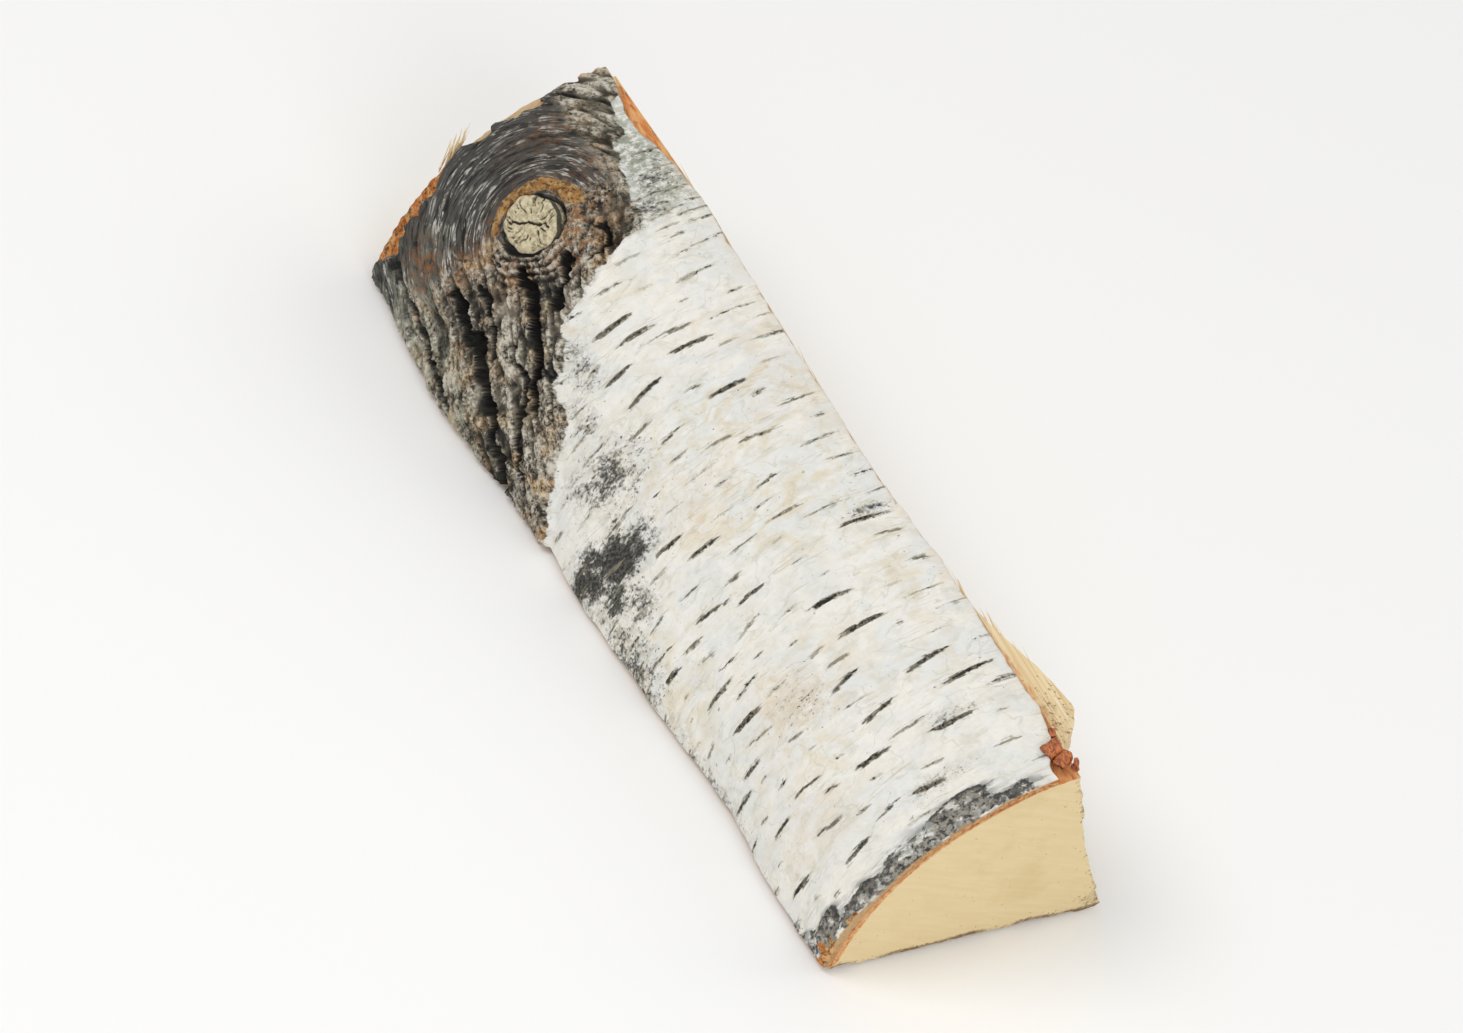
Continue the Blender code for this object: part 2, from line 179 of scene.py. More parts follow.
@dataclass(frozen=True)
class LogForm:
    """The billet's measures and the round that both the wood and the bark follow."""

    length: float = 0.250
    pith_y: float = 0.049372
    lower_face: float = 0.086
    upper_face: float = 0.070
    split_angle: float = math.radians(64)
    split_run_in: float = math.radians(3.5)
    run_in: tuple = ((0.6, 0.140, 0.200), (0.4, -0.010, 0.060))
    arc_bulge: float = 0.0035
    knot_end_growth: float = 0.06
    uneven_round: Ripple = Ripple(0.0012, 0.45, 0.060, 3.1)
    foot_swellings: tuple = (
        Swelling(0.0046, 0.052, 0.030),
        Swelling(0.0026, 0.122, 0.022),
        Swelling(-0.0018, 0.200, 0.026),
    )
    foot_top: float = 0.30
    bark: float = 0.0030
    bark_gap: float = 0.0004
    knot_x: float = -0.0878
    knot_u: float = 0.548
    knot_swell: float = 0.0040
    knot_swell_reach: float = 0.030

    def from_knot_end(self, x: np.ndarray) -> np.ndarray:
        """Distance from the knot end."""
        return np.asarray(x, float) + self.length / 2

    def from_clean_end(self, x: np.ndarray) -> np.ndarray:
        """Distance from the clean end."""
        return self.length / 2 - np.asarray(x, float)

    def x_at(self, distance: float) -> np.ndarray:
        """The place along the log, from its distance from the knot end."""
        return np.array(distance - self.length / 2)

    def arc_at(self, distance: float, u: float) -> float:
        """The way round the bark to one place on it."""
        return float(self.arc_length(np.array(u), self.x_at(distance)))

    def opening(self, x: np.ndarray) -> np.ndarray:
        """The angle between the two split faces, at this place along the log."""
        share = sum(part * smooth_step(low, high, self.from_knot_end(x)) for part, low, high in self.run_in)
        return self.split_angle - self.split_run_in * (1 - share)

    def base_radius(self, u: np.ndarray, x: np.ndarray) -> np.ndarray:
        """Pith to the outside of the smooth bark, without the swelling round the knot."""
        straight = self.lower_face + (self.upper_face - self.lower_face) * u
        straight = straight + self.arc_bulge * 4 * u * (1 - u)
        grown = straight * (1 + self.knot_end_growth * (0.5 - x / self.length))
        return grown + self.uneven_round.at(u, x)

    def arc_length(self, u: np.ndarray, x: np.ndarray) -> np.ndarray:
        """The way round the bark from the lower split face."""
        return u * self.opening(x) * self.base_radius(u, x)

    def girth(self, u: np.ndarray, x: np.ndarray) -> np.ndarray:
        """The same way round, measured along the bark itself."""
        straight = self.lower_face * u + (self.upper_face - self.lower_face) * u**2 / 2
        bulge = self.arc_bulge * (2 * u**2 - 4 * u**3 / 3)
        return (straight + bulge) * self.opening(x) * (1 + self.knot_end_growth * (0.5 - x / self.length))

    def knot_offset(self, u: np.ndarray, x: np.ndarray) -> tuple[np.ndarray, np.ndarray]:
        """From the knot's centre: along the log towards the knot end, and round the bark upwards."""
        knot_arc = self.arc_length(np.array(self.knot_u), np.array(self.knot_x))
        return self.knot_x - x, self.arc_length(u, x) - knot_arc

    def outer_radius(self, u: np.ndarray, x: np.ndarray) -> np.ndarray:
        """Pith to the outside of the smooth bark."""
        foot = sum(swelling.at(self.from_knot_end(x)) for swelling in self.foot_swellings)
        swell = self.knot_swell * bump(np.hypot(*self.knot_offset(u, x)), self.knot_swell_reach)
        return self.base_radius(u, x) + swell + foot * (1 - smooth_step(0.0, self.foot_top, u))

    def wood_radius(self, u: np.ndarray, x: np.ndarray) -> np.ndarray:
        """Pith to the outside of the wood under the bark."""
        return self.outer_radius(u, x) - self.bark - self.bark_gap

    def place(self, u: np.ndarray, x: np.ndarray, radius: np.ndarray) -> np.ndarray:
        """Points at this distance from the pith line, in the direction of u."""
        u, x, radius = np.broadcast_arrays(u, x, radius)
        angle = u * self.opening(x)
        return np.stack([x, self.pith_y - radius * np.cos(angle), radius * np.sin(angle)], axis=-1)

    def point(self, distance: float, u: float, above: float = 0.0) -> Vector:
        """One point on the wood's round.

        Args:
            distance: From the knot end.
            u: The share of the way round.
            above: Height over the wood's round.

        Returns:
            The point in the row frame.
        """
        x, across = self.x_at(distance), np.array(u)
        return Vector(self.place(across, x, self.wood_radius(across, x) + above).tolist())

    def outward(self, distance: float, u: float) -> Vector:
        """The direction straight out of the bark there."""
        return (self.point(distance, u, MM) - self.point(distance, u)).normalized()


def mesh_of(bm: bmesh.types.BMesh, name: str) -> bpy.types.Mesh:
    """A finished bmesh as a mesh."""
    mesh = bpy.data.meshes.new(name)
    bm.to_mesh(mesh)
    bm.free()
    return mesh


def linked(data: bpy.types.ID) -> bpy.types.Object:
    """A mesh, a lamp or a lens as an object of the scene, under its own name."""
    made = bpy.data.objects.new(data.name, data)
    bpy.context.scene.collection.objects.link(made)
    return made


def smooth_piece(mesh: bpy.types.Mesh, sharp_from: float) -> bpy.types.Object:
    """A piece that is shaded smooth, with edges sharp from an angle in degrees."""
    mesh.shade_smooth()
    mesh.set_sharp_from_angle(angle=math.radians(sharp_from))
    return linked(mesh)


def tube_mesh(name: str, places: np.ndarray, marks: dict[str, np.ndarray]) -> bpy.types.Mesh:
    """A grid whose points are moved to given places, with one attribute for each set of marks.

    Args:
        name: The mesh's name.
        places: Points as rows by columns by x, y, z. The last column meets the first.
        marks: Attribute names with their values, as rows by columns by three or four numbers.

    Returns:
        The mesh, with its seam merged, its ends filled and its faces pointing outwards.
    """
    rows, columns = places.shape[:2]
    bm = bmesh.new()
    bmesh.ops.create_grid(bm, x_segments=rows - 1, y_segments=columns - 1, size=0.5)
    mesh = mesh_of(bm, name)
    flat = np.zeros(len(mesh.vertices) * 3, np.float32)
    mesh.vertices.foreach_get("co", flat)
    shares = flat.reshape(-1, 3) + 0.5
    row = np.rint(shares[:, 0] * (rows - 1)).astype(int)
    column = np.rint(shares[:, 1] * (columns - 1)).astype(int)
    mesh.vertices.foreach_set("co", places[row, column].astype(np.float32).ravel())
    for attribute_name, values in marks.items():
        kind, key = ("FLOAT_COLOR", "color") if values.shape[-1] == 4 else ("FLOAT_VECTOR", "vector")
        attribute = mesh.attributes.new(attribute_name, kind, "POINT")
        attribute.data.foreach_set(key, values[row, column].astype(np.float32).ravel())
    close_tube(mesh)
    return mesh


def close_tube(mesh: bpy.types.Mesh) -> None:
    """Merges a tube's seam, fills its open ends, and turns its faces outwards."""
    bm = bmesh.new()
    bm.from_mesh(mesh)
    rim = [vertex for vertex in bm.verts if vertex.is_boundary]
    bmesh.ops.remove_doubles(bm, verts=rim, dist=1e-7)
    open_edges = [edge for edge in bm.edges if edge.is_boundary]
    if open_edges:
        bmesh.ops.holes_fill(bm, edges=open_edges, sides=0)
    bmesh.ops.recalc_face_normals(bm, faces=bm.faces)
    bm.to_mesh(mesh)
    bm.free()


def colour_marks(*channels: np.ndarray) -> np.ndarray:
    """Four masks as one set of values, each kept between 0 and 1."""
    return np.clip(np.stack(np.broadcast_arrays(*channels), axis=-1), 0.0, 1.0)


class Field:
    """A value, colour or place that changes over a surface: one node's output, and sums with it."""

    def __init__(self, shading: "Shading", socket: bpy.types.NodeSocket) -> None:
        """Keeps the output, and the helper of its node tree."""
        self.shading, self.socket = shading, socket

    def maths(self, operation: str, *others: object) -> "Field":
        """A sum with this value and others."""
        values = dict(enumerate((self, *others)))
        return self.shading.add("ShaderNodeMath", values, operation=operation)

    def __add__(self, other: object) -> "Field":
        """Two values added."""
        return self.maths("ADD", other)

    def __sub__(self, other: float) -> "Field":
        """The value less a number."""
        return self.maths("ADD", -other)

    def __rsub__(self, other: float) -> "Field":
        """A number less the value."""
        return self * -1.0 + other

    def __mul__(self, other: object) -> "Field":
        """Two values multiplied."""
        return self.maths("MULTIPLY", other)

    def __abs__(self) -> "Field":
        """The value without its sign."""
        return self.maths("ABSOLUTE")

    def window(self, low: object, high: object, to_low: float = 0.0, to_high: float = 1.0) -> "Field":
        """The value smoothly rescaled from one range to another, and kept within it."""
        values = {"Value": self, "From Min": low, "From Max": high, "To Min": to_low, "To Max": to_high}
        return self.shading.add("ShaderNodeMapRange", values, "Result", interpolation_type="SMOOTHSTEP")

    def mix(self, first: object, second: object, blend: str = "MIX") -> "Field":
        """The first colour where this value is 0, and the second, or its blend, where it is 1."""
        values = {"Factor": self, 6: first, 7: second}
        return self.shading.add("ShaderNodeMix", values, 2, data_type="RGBA", blend_type=blend)

    def scaled(self, *scale: float) -> "Field":
        """The place multiplied by a scale along each of its axes."""
        return self.shading.add("ShaderNodeMapping", {"Vector": self, "Scale": scale})

    def noise(self, scale: Scale, detail: float, roughness: float, twist: float = 0.0) -> "Field":
        """Noise at this place.

        Args:
            scale: How fine it is, as one number or one for each axis.
            detail: How many finer layers it has.
            roughness: How strong the finer layers are.
            twist: How far it distorts itself.

        Returns:
            The noise, about a half on average.
        """
        place, size = (self, scale) if isinstance(scale, float) else (self.scaled(*scale), 1.0)
        values = {"Vector": place, "Scale": size, "Detail": detail, "Roughness": roughness}
        values["Distortion"] = twist
        return self.shading.add("ShaderNodeTexNoise", values, "Fac")

    def lines(self, scale: Scale, width: float, detail: float) -> "Field":
        """Thin lines that wander over the surface: 1 on a line and 0 beside it.

        Args:
            scale: How closely the lines lie along each axis.
            width: How thick they are, as a share of the noise.
            detail: How much they wriggle.

        Returns:
            The lines' mask.
        """
        return abs(self.noise(scale, detail, 0.5, 0.4) - 0.5).window(0.0, width, 1.0, 0.0)


class Shading:
    """Adds nodes to one node tree and links them."""

    def __init__(self, tree: bpy.types.NodeTree) -> None:
        """Keeps the tree."""
        self.tree = tree

    def node(self, kind: str, inputs: Optional[dict] = None, **settings: object) -> bpy.types.Node:
        """Adds one node.

        Args:
            kind: The node's type.
            inputs: Socket names or numbers, each with a value or with the field that feeds it.
            **settings: The node's own properties.

        Returns:
            The node.
        """
        node = self.tree.nodes.new(kind)
        for key, value in settings.items():
            setattr(node, key, value)
        for key, value in (inputs or {}).items():
            self.feed(node.inputs[key], value)
        return node

    def add(self, kind: str, inputs: dict, output: int | str = 0, **settings: object) -> Field:
        """Adds one node as above, and returns one of its outputs."""
        return Field(self, self.node(kind, inputs, **settings).outputs[output])

    def feed(self, socket: bpy.types.NodeSocket, value: object) -> None:
        """Links a field to a socket, or sets the socket's value."""
        if isinstance(value, Field):
            self.tree.links.new(value.socket, socket)
        else:
            socket.default_value = value


class Effect(Shading):
    """A shader node group with named inputs and one output, a value."""

    def __init__(self, name: str, inputs: Sequence[str], output: str) -> None:
        """Makes the group and its sockets.

        Args:
            name: The group's name.
            inputs: The inputs' names. "Vector" is a place, and the others are values.
            output: The output's name.
        """
        super().__init__(bpy.data.node_groups.new(name, "ShaderNodeTree"))
        for key in inputs:
            kind = "NodeSocketVector" if key == "Vector" else "NodeSocketFloat"
            self.tree.interface.new_socket(key, in_out="INPUT", socket_type=kind)
        self.tree.interface.new_socket(output, in_out="OUTPUT", socket_type="NodeSocketFloat")
        source = self.node("NodeGroupInput")
        self.given = [Field(self, source.outputs[key]) for key in inputs]
        self.sink = self.node("NodeGroupOutput").inputs[output]

    def giving(self, result: Field) -> bpy.types.NodeTree:
        """The finished group, which puts out this value."""
        self.feed(self.sink, result)
        return self.tree


class SharedEffects:
    """The node groups that more than one material uses."""

    def __init__(self) -> None:
        """Builds each group once."""
        self.ragged_edge = self.build_ragged_edge()
        self.streaks = self.build_streaks()
        self.specks = self.build_specks()

    def build_ragged_edge(self) -> bpy.types.NodeTree:
        """A mask that is 1 where a field is over a half, with a border frayed by noise."""
        effect = Effect("ragged edge", ("Field", "Vector", "Fray", "Softness"), "Mask")
        field, place, fray, softness = effect.given
        frayed = field + (place.noise(1.0, 3.0, 0.65) - 0.5) * fray
        return effect.giving(frayed.window(softness * -0.5 + 0.5, softness * 0.5 + 0.5))

    def build_streaks(self) -> bpy.types.NodeTree:
        """Fine fibres drawn out along one axis of the vector that they are given."""
        effect = Effect("streaks", ("Vector", "Contrast"), "Value")
        place, contrast = effect.given
        both = place.noise(1.0, 4.0, 0.62) * 0.62 + place.noise(3.1, 3.0, 0.6) * 0.38
        return effect.giving((both - 0.5) * contrast + 0.5)

    def build_specks(self) -> bpy.types.NodeTree:
        """Small dark specks, as many as the amount allows."""
        effect = Effect("specks", ("Vector", "Amount"), "Mask")
        place, amount = effect.given
        level = place.noise(1.0, 2.5, 0.6) + amount * 0.34
        return effect.giving(level.window(0.69, 0.77))


class Paint(Shading):
    """A material in the making: its Principled shader, and the shared effects that it places."""

    def __init__(self, name: str, roughness: float, shared: Optional[SharedEffects] = None) -> None:
        """Makes the material.

        Args:
            name: The material's name.
            roughness: The shader's roughness.
            shared: The node groups used by several materials.
        """
        self.material = bpy.data.materials.new(name)
        self.material.use_nodes = True
        super().__init__(self.material.node_tree)
        self.shared = shared
        self.shader = self.tree.nodes["Principled BSDF"]
        self.shader.inputs["Metallic"].default_value = 0.0
        self.shader.inputs["Roughness"].default_value = roughness

    def attribute(self, name: str) -> tuple[Field, ...]:
        """A four-part attribute's channels, in order."""
        source = self.node("ShaderNodeAttribute", attribute_name=name)
        colour = Field(self, source.outputs["Color"])
        parts = self.node("ShaderNodeSeparateColor", {"Color": colour}).outputs[:3]
        return tuple(Field(self, socket) for socket in (*parts, source.outputs["Alpha"]))

    def flow(self) -> Field:
        """The attribute flow: the place along the bark's own fibres."""
        return self.add("ShaderNodeAttribute", {}, "Vector", attribute_name="flow")

    def place(self) -> Field:
        """The place on the piece, in metres."""
        return self.add("ShaderNodeTexCoord", {}, "Object")

    def ragged(self, field: Field, place: Field, fray: float, softness: float) -> Field:
        """The shared ragged edge, round the parts where a field is over a half."""
        values = {"Field": field, "Vector": place, "Fray": fray, "Softness": softness}
        return self.add("ShaderNodeGroup", values, node_tree=self.shared.ragged_edge)

    def streaks(self, place: Field, contrast: float) -> Field:
        """The shared fibres."""
        values = {"Vector": place, "Contrast": contrast}
        return self.add("ShaderNodeGroup", values, node_tree=self.shared.streaks)

    def specks(self, place: Field, amount: Field) -> Field:
        """The shared dark specks."""
        values = {"Vector": place, "Amount": amount}
        return self.add("ShaderNodeGroup", values, node_tree=self.shared.specks)

    def finish(self, colour: Field, height: Field, depth: float, strength: float) -> bpy.types.Material:
        """Feeds the shader.

        Args:
            colour: The base colour.
            height: The fine relief, from 0 to 1.
            depth: How deep a relief of 1 is.
            strength: How much of it is shown.

        Returns:
            The finished material.
        """
        self.feed(self.shader.inputs["Base Color"], colour)
        values = {"Height": height, "Distance": depth, "Strength": strength}
        self.feed(self.shader.inputs["Normal"], self.add("ShaderNodeBump", values, "Normal"))
        return self.material


@dataclass(frozen=True)
class BarkFinish:
    """White birch bark with dark dashes, and charcoal bark where it is rough. Base colours are linear."""

    white: Colour = (0.835, 0.815, 0.76, 1.0)
    cool_white: Colour = (0.765, 0.770, 0.745, 1.0)
    cream: Colour = (0.72, 0.62, 0.43, 1.0)
    olive: Colour = (0.52, 0.51, 0.40, 1.0)
    peach: Colour = (0.70, 0.56, 0.40, 1.0)
    hairline: Colour = (0.46, 0.37, 0.24, 1.0)
    stain: Colour = (0.30, 0.28, 0.23, 1.0)
    dash_pale: Colour = (0.35, 0.31, 0.22, 1.0)
    dash_tail: Colour = (0.105, 0.094, 0.072, 1.0)
    dash_core: Colour = (0.014, 0.013, 0.012, 1.0)
    speck: Colour = (0.055, 0.048, 0.04, 1.0)
    charcoal: Colour = (0.088, 0.084, 0.070, 1.0)
    soot: Colour = (0.014, 0.014, 0.014, 1.0)
    slate: Colour = (0.22, 0.225, 0.22, 1.0)
    lichen: Colour = (0.27, 0.29, 0.22, 1.0)
    crack: Colour = (0.006, 0.005, 0.005, 1.0)
    rough_dark: Colour = (0.038, 0.034, 0.028, 1.0)
    rough_mid: Colour = (0.195, 0.170, 0.127, 1.0)
    rough_crest: Colour = (0.60, 0.565, 0.47, 1.0)
    rough_warmth: Colour = (1.0, 0.78, 0.55, 1.0)
    arch_dark: Colour = (0.017, 0.0165, 0.016, 1.0)
    arch_mid: Colour = (0.080, 0.076, 0.069, 1.0)
    silver: Colour = (0.66, 0.635, 0.57, 1.0)
    rust: Colour = (0.28, 0.125, 0.045, 1.0)
    orange: Colour = (0.50, 0.155, 0.030, 1.0)
    orange_pale: Colour = (0.68, 0.38, 0.15, 1.0)
    torn_tan: Colour = (0.56, 0.38, 0.20, 1.0)
    rim_beige: Colour = (0.74, 0.57, 0.34, 1.0)
    ochre: Colour = (0.32, 0.150, 0.042, 1.0)
    ochre_pale: Colour = (0.53, 0.34, 0.14, 1.0)
    bone: Colour = (0.56, 0.53, 0.46, 1.0)
    ash: Colour = (0.33, 0.305, 0.25, 1.0)
    brown: Colour = (0.07, 0.035, 0.018, 1.0)
    roughness: float = 0.74
    gloss: float = 0.22
    relief_depth: float = 0.0006

    def material(self, shared: SharedEffects) -> bpy.types.Material:
        """Builds the material, which reads the attributes flow, look, dashes, marks and tints.

        Args:
            shared: The node groups used by several materials.

        Returns:
            The material.
        """
        paint = Paint("birch bark", self.roughness, shared)
        paint.shader.inputs["Specular IOR Level"].default_value = self.gloss
        flow = paint.flow()
        # The look's second part is the rough bark's lightness, with its painted light and shade.
        rough, relief, rust, depth = paint.attribute("look")
        orange, scorch, arch, chip = paint.attribute("tints")
        grey, cream, lichen, peach = paint.attribute("marks")

        white = self.white_bark(paint, flow, (grey, cream, lichen, peach))
        white = self.dashed(paint, flow, white)
        white = self.scorched(paint, flow, white, scorch)
        dark, fibres = self.rough_bark(paint, flow, (relief, rust, arch, cream, lichen))
        edge = flow.scaled(0, 420, 420)
        rough_mask = paint.ragged(rough, edge, 1.0, 0.16)
        colour = rough_mask.mix(white, dark)

        inner = (cream * chip * 0.8).mix(self.inner_bark(paint, chip), self.rim_beige)
        colour = paint.ragged(orange, edge, 0.9, 0.25).mix(colour, inner)
        colour = depth.window(0.10, 0.30).mix(colour, chip.mix(self.torn_tan, inner))
        quiet = flow.noise((0, 1100, 800), 4.0, 0.65) * rough.window(0.3, 0.7, 0.22, 0.8)
        return paint.finish(colour, quiet + fibres * rough_mask, self.relief_depth, 0.6)

    def white_bark(self, paint: Paint, flow: Field, marks: tuple[Field, ...]) -> Field:
        """The colour of the smooth bark without its dashes.

        Args:
            paint: The material in the making.
            flow: The place on the bark.
            marks: Where it is grey, cream, green-grey and peach.

        Returns:
            The colour.
        """
        grey, cream, lichen, peach = marks
        grey = grey * flow.noise((0, 230, 170), 4.0, 0.65).window(0.36, 0.60, 0.60, 1.20)
        # Cool and olive-grey patches: own tone, the olive-grey partly painted shade of the uneven bark.
        broad = flow.noise((0, 75, 60), 3.0, 0.6, 0.8)
        colour = broad.window(0.40, 0.60).mix(self.cool_white, self.white)
        mottle = flow.noise((0, 130, 95), 5.0, 0.62, 1.2)
        colour = (mottle.window(0.44, 0.66) * (cream + 0.18)).mix(colour, self.cream)
        olive = flow.noise((0, 210, 140), 4.0, 0.6, 0.6)
        colour = olive.window(0.52, 0.72, 0.0, 0.38).mix(colour, self.olive)
        colour = (peach * mottle.window(0.38, 0.62, 0.15, 0.6)).mix(colour, self.peach)

        peeling = flow.lines((0, 95, 55), 0.010, 3.0)
        colour = (peeling * 0.36).mix(colour, self.olive)
        sparse = flow.noise((0, 160, 90), 2.0, 0.5).window(0.48, 0.64, 0.0, 0.48)
        colour = (flow.lines((0, 620, 40), 0.020, 2.0) * sparse).mix(colour, self.hairline)

        cloud = flow.noise((0, 520, 420), 5.0, 0.7)
        smudge = cloud.window(0.40, 0.64, 0.22, 1.0) * (grey * 1.30 + 0.05)
        colour = (smudge * 0.85).mix(colour, self.stain)
        colour = (lichen * cloud.window(0.38, 0.58)).mix(colour, self.lichen)
        specks = paint.specks(flow.scaled(0, 1250, 950), grey * 1.2 + cream * 0.22 - 0.11)
        colour = (specks * 0.85).mix(colour, self.speck)
        sooty = paint.ragged(grey, flow.scaled(0, 820, 640), 1.35, 0.45)
        fine = flow.noise((0, 1050, 820), 4.0, 0.7)
        mottled = fine.window(0.42, 0.62).mix(self.soot, self.charcoal)
        return (sooty * 0.90).mix(colour, mottled)

    def dashed(self, paint: Paint, flow: Field, ground: Field) -> Field:
        """Lays the dark dashes over the smooth bark.

        Args:
            paint: The material in the making.
            flow: The place on the bark.
            ground: The smooth bark's colour.

        Returns:
            The colour.
        """
        offset, width, core, strength = paint.attribute("dashes")
        shake = flow.noise((0, 760, 480), 4.0, 0.62) - 0.5
        fray = flow.noise((0, 820, 560), 4.0, 0.68) - 0.5
        strokes = flow.noise((0, 1500, 160), 2.0, 0.5)
        taken = abs(offset - 0.5 + shake * 0.42) * -1.0
        inside = width - 0.5 + fray * 0.85 + (strokes - 0.5) * 0.55 + taken
        halo = inside.window(-0.34, 0.0, 0.0, 0.55) * strokes.window(0.42, 0.60)
        ground = (halo * strength).mix(ground, self.dash_pale)
        tint = shake.window(-0.04, 0.20).mix(self.dash_tail, self.dash_pale)
        tint = strength.mix(self.dash_pale, tint)
        colour = (inside.window(-0.09, 0.10) * (strength * 0.5 + 0.45)).mix(ground, tint)
        blots = flow.noise((0, 620, 900), 3.0, 0.65).window(0.42, 0.54, 0.12, 1.0)
        black = (core - 0.5 + fray * 1.15 + taken).window(-0.05, 0.12) * blots
        return (black * 0.95).mix(colour, self.dash_core)

    def scorched(self, paint: Paint, flow: Field, ground: Field, scorch: Field) -> Field:
        """Lays the dark, mottled margin of the clean end over the smooth bark.

        Args:
            paint: The material in the making.
            flow: The place on the bark.
            ground: The bark's colour so far.
            scorch: 1 at the end and 0 beyond the margin.

        Returns:
            The colour.
        """
        haze = flow.noise((0, 460, 100), 3.0, 0.6).window(0.42, 0.58, 0.0, 0.75)
        ground = (scorch.window(0.0, 0.45) * haze).mix(ground, self.slate)
        clumps = flow.noise((0, 170, 130), 3.0, 0.6).window(0.38, 0.60, 0.42, 0.86)
        mask = paint.ragged(clumps * scorch.window(0.20, 0.60), flow.scaled(0, 560, 400), 2.2, 0.30)
        fine = flow.noise((0, 760, 640), 5.0, 0.72)
        sooty = fine.window(0.48, 0.64).mix(self.soot, self.speck)
        dusty = fine.window(0.43, 0.55).mix(self.soot, self.ash)
        tint = scorch.window(0.42, 0.85, 0.0, 0.8).mix(sooty, dusty)
        bits = flow.noise((0, 400, 340), 4.0, 0.65)
        tint = bits.window(0.54, 0.64, 0.0, 0.62).mix(tint, self.bone)
        return (mask * 0.92).mix(ground, tint)

    def rough_bark(self, paint: Paint, flow: Field, masks: tuple[Field, ...]) -> tuple[Field, Field]:
        """The colour of the rough bark, and the height of its fine fibres.

        Args:
            paint: The material in the making.
            flow: The place on the bark, whose first part is constant along a fibre.
            masks: The relief, 0 in a crack and 1 on a crest, with painted shade and light; the rust; where
            the fibres arch; where the bark is pale; and where it is green-grey.

        Returns:
            The colour, and the fibres' height between 0 and 1.
        """
        relief, rust, arch, pale, mossy = masks
        grain = flow.noise((620, 620, 620), 6.0, 0.75)
        broad = flow.noise((0, 190, 90), 3.0, 0.6)
        level = relief * 0.90 + (grain - 0.5) * relief.window(0.22, 0.50, 0.05, 2.7)
        level = level + (broad - 0.52) * 0.85 + pale * 0.17
        # Black cracks to pale crests: partly the bark's own colour, partly painted shade and light.
        ramp = paint.node("ShaderNodeValToRGB", {"Fac": level})
        stops = ramp.color_ramp.elements
        stops[0].position, stops[0].color = 0.06, self.crack
        stops[1].position, stops[1].color = 0.80, self.rough_crest
        for position, colour in ((0.24, self.rough_dark), (0.46, self.rough_mid)):
            stops.new(position).color = colour
        knobbly = Field(paint, ramp.outputs["Color"])
        patches = flow.noise((0, 120, 120), 3.0, 0.6)
        warm = ((1.0 - pale) * patches.window(0.46, 0.62)).mix(knobbly, self.rough_warmth, "MULTIPLY")

        fibres = paint.streaks(flow.scaled(1000, 110, 110), 4.2)
        # The arching fibres are darker where the relief is low: partly painted shade.
        deep = relief * 0.9 + (fibres - 0.5) * 0.9
        smooth = deep.window(0.12, 0.80).mix(self.arch_dark, self.arch_mid)
        broken = flow.noise((420, 210, 210), 3.0, 0.6)
        clusters = flow.noise((120, 60, 60), 3.0, 0.6)
        scratches = flow.lines((1150, 110, 110), 0.075, 2.0) * broken.window(0.42, 0.56)
        scratches = scratches * clusters.window(0.42, 0.58, 0.12, 1.0) * level.window(0.25, 0.60, 0.25, 1.0)
        smooth = (scratches * 0.95).mix(smooth, self.silver)
        flake_edges = flow.lines((0, 520, 190), 0.022, 3.0) * broken.window(0.48, 0.56)
        bright = (scratches * 0.5 + flake_edges * 0.75) * relief.window(0.25, 0.55)
        colour = (bright * (1.0 - arch)).mix(arch.mix(warm, smooth), self.silver)

        tufts = flow.noise((900, 260, 260), 4.0, 0.7).window(0.44, 0.60)
        green = mossy * tufts * level.window(0.2, 0.5, 0.3, 0.8)
        flakes = flow.noise((0, 420, 420), 4.0, 0.7)
        rusty = rust * flakes.window(0.42, 0.60) * level.window(0.15, 0.45)
        return rusty.mix(green.mix(colour, self.lichen), self.rust), arch.mix(grain, fibres)

    def inner_bark(self, paint: Paint, chip: Field) -> Field:
        """The colour of bark that is broken open.

        Args:
            paint: The material in the making.
            chip: 1 where the break is fresh and orange, and 0 where it is old and ochre.

        Returns:
            The colour.
        """
        place = paint.place()
        grain = place.noise(520.0, 5.0, 0.68).window(0.40, 0.62)
        fresh = grain.mix(self.orange, self.orange_pale)
        old = grain.mix(self.ochre, self.ochre_pale)
        pits = place.noise(760.0, 4.0, 0.68)
        return pits.window(0.50, 0.60, 0.0, 0.85).mix(chip.mix(old, fresh), self.brown)


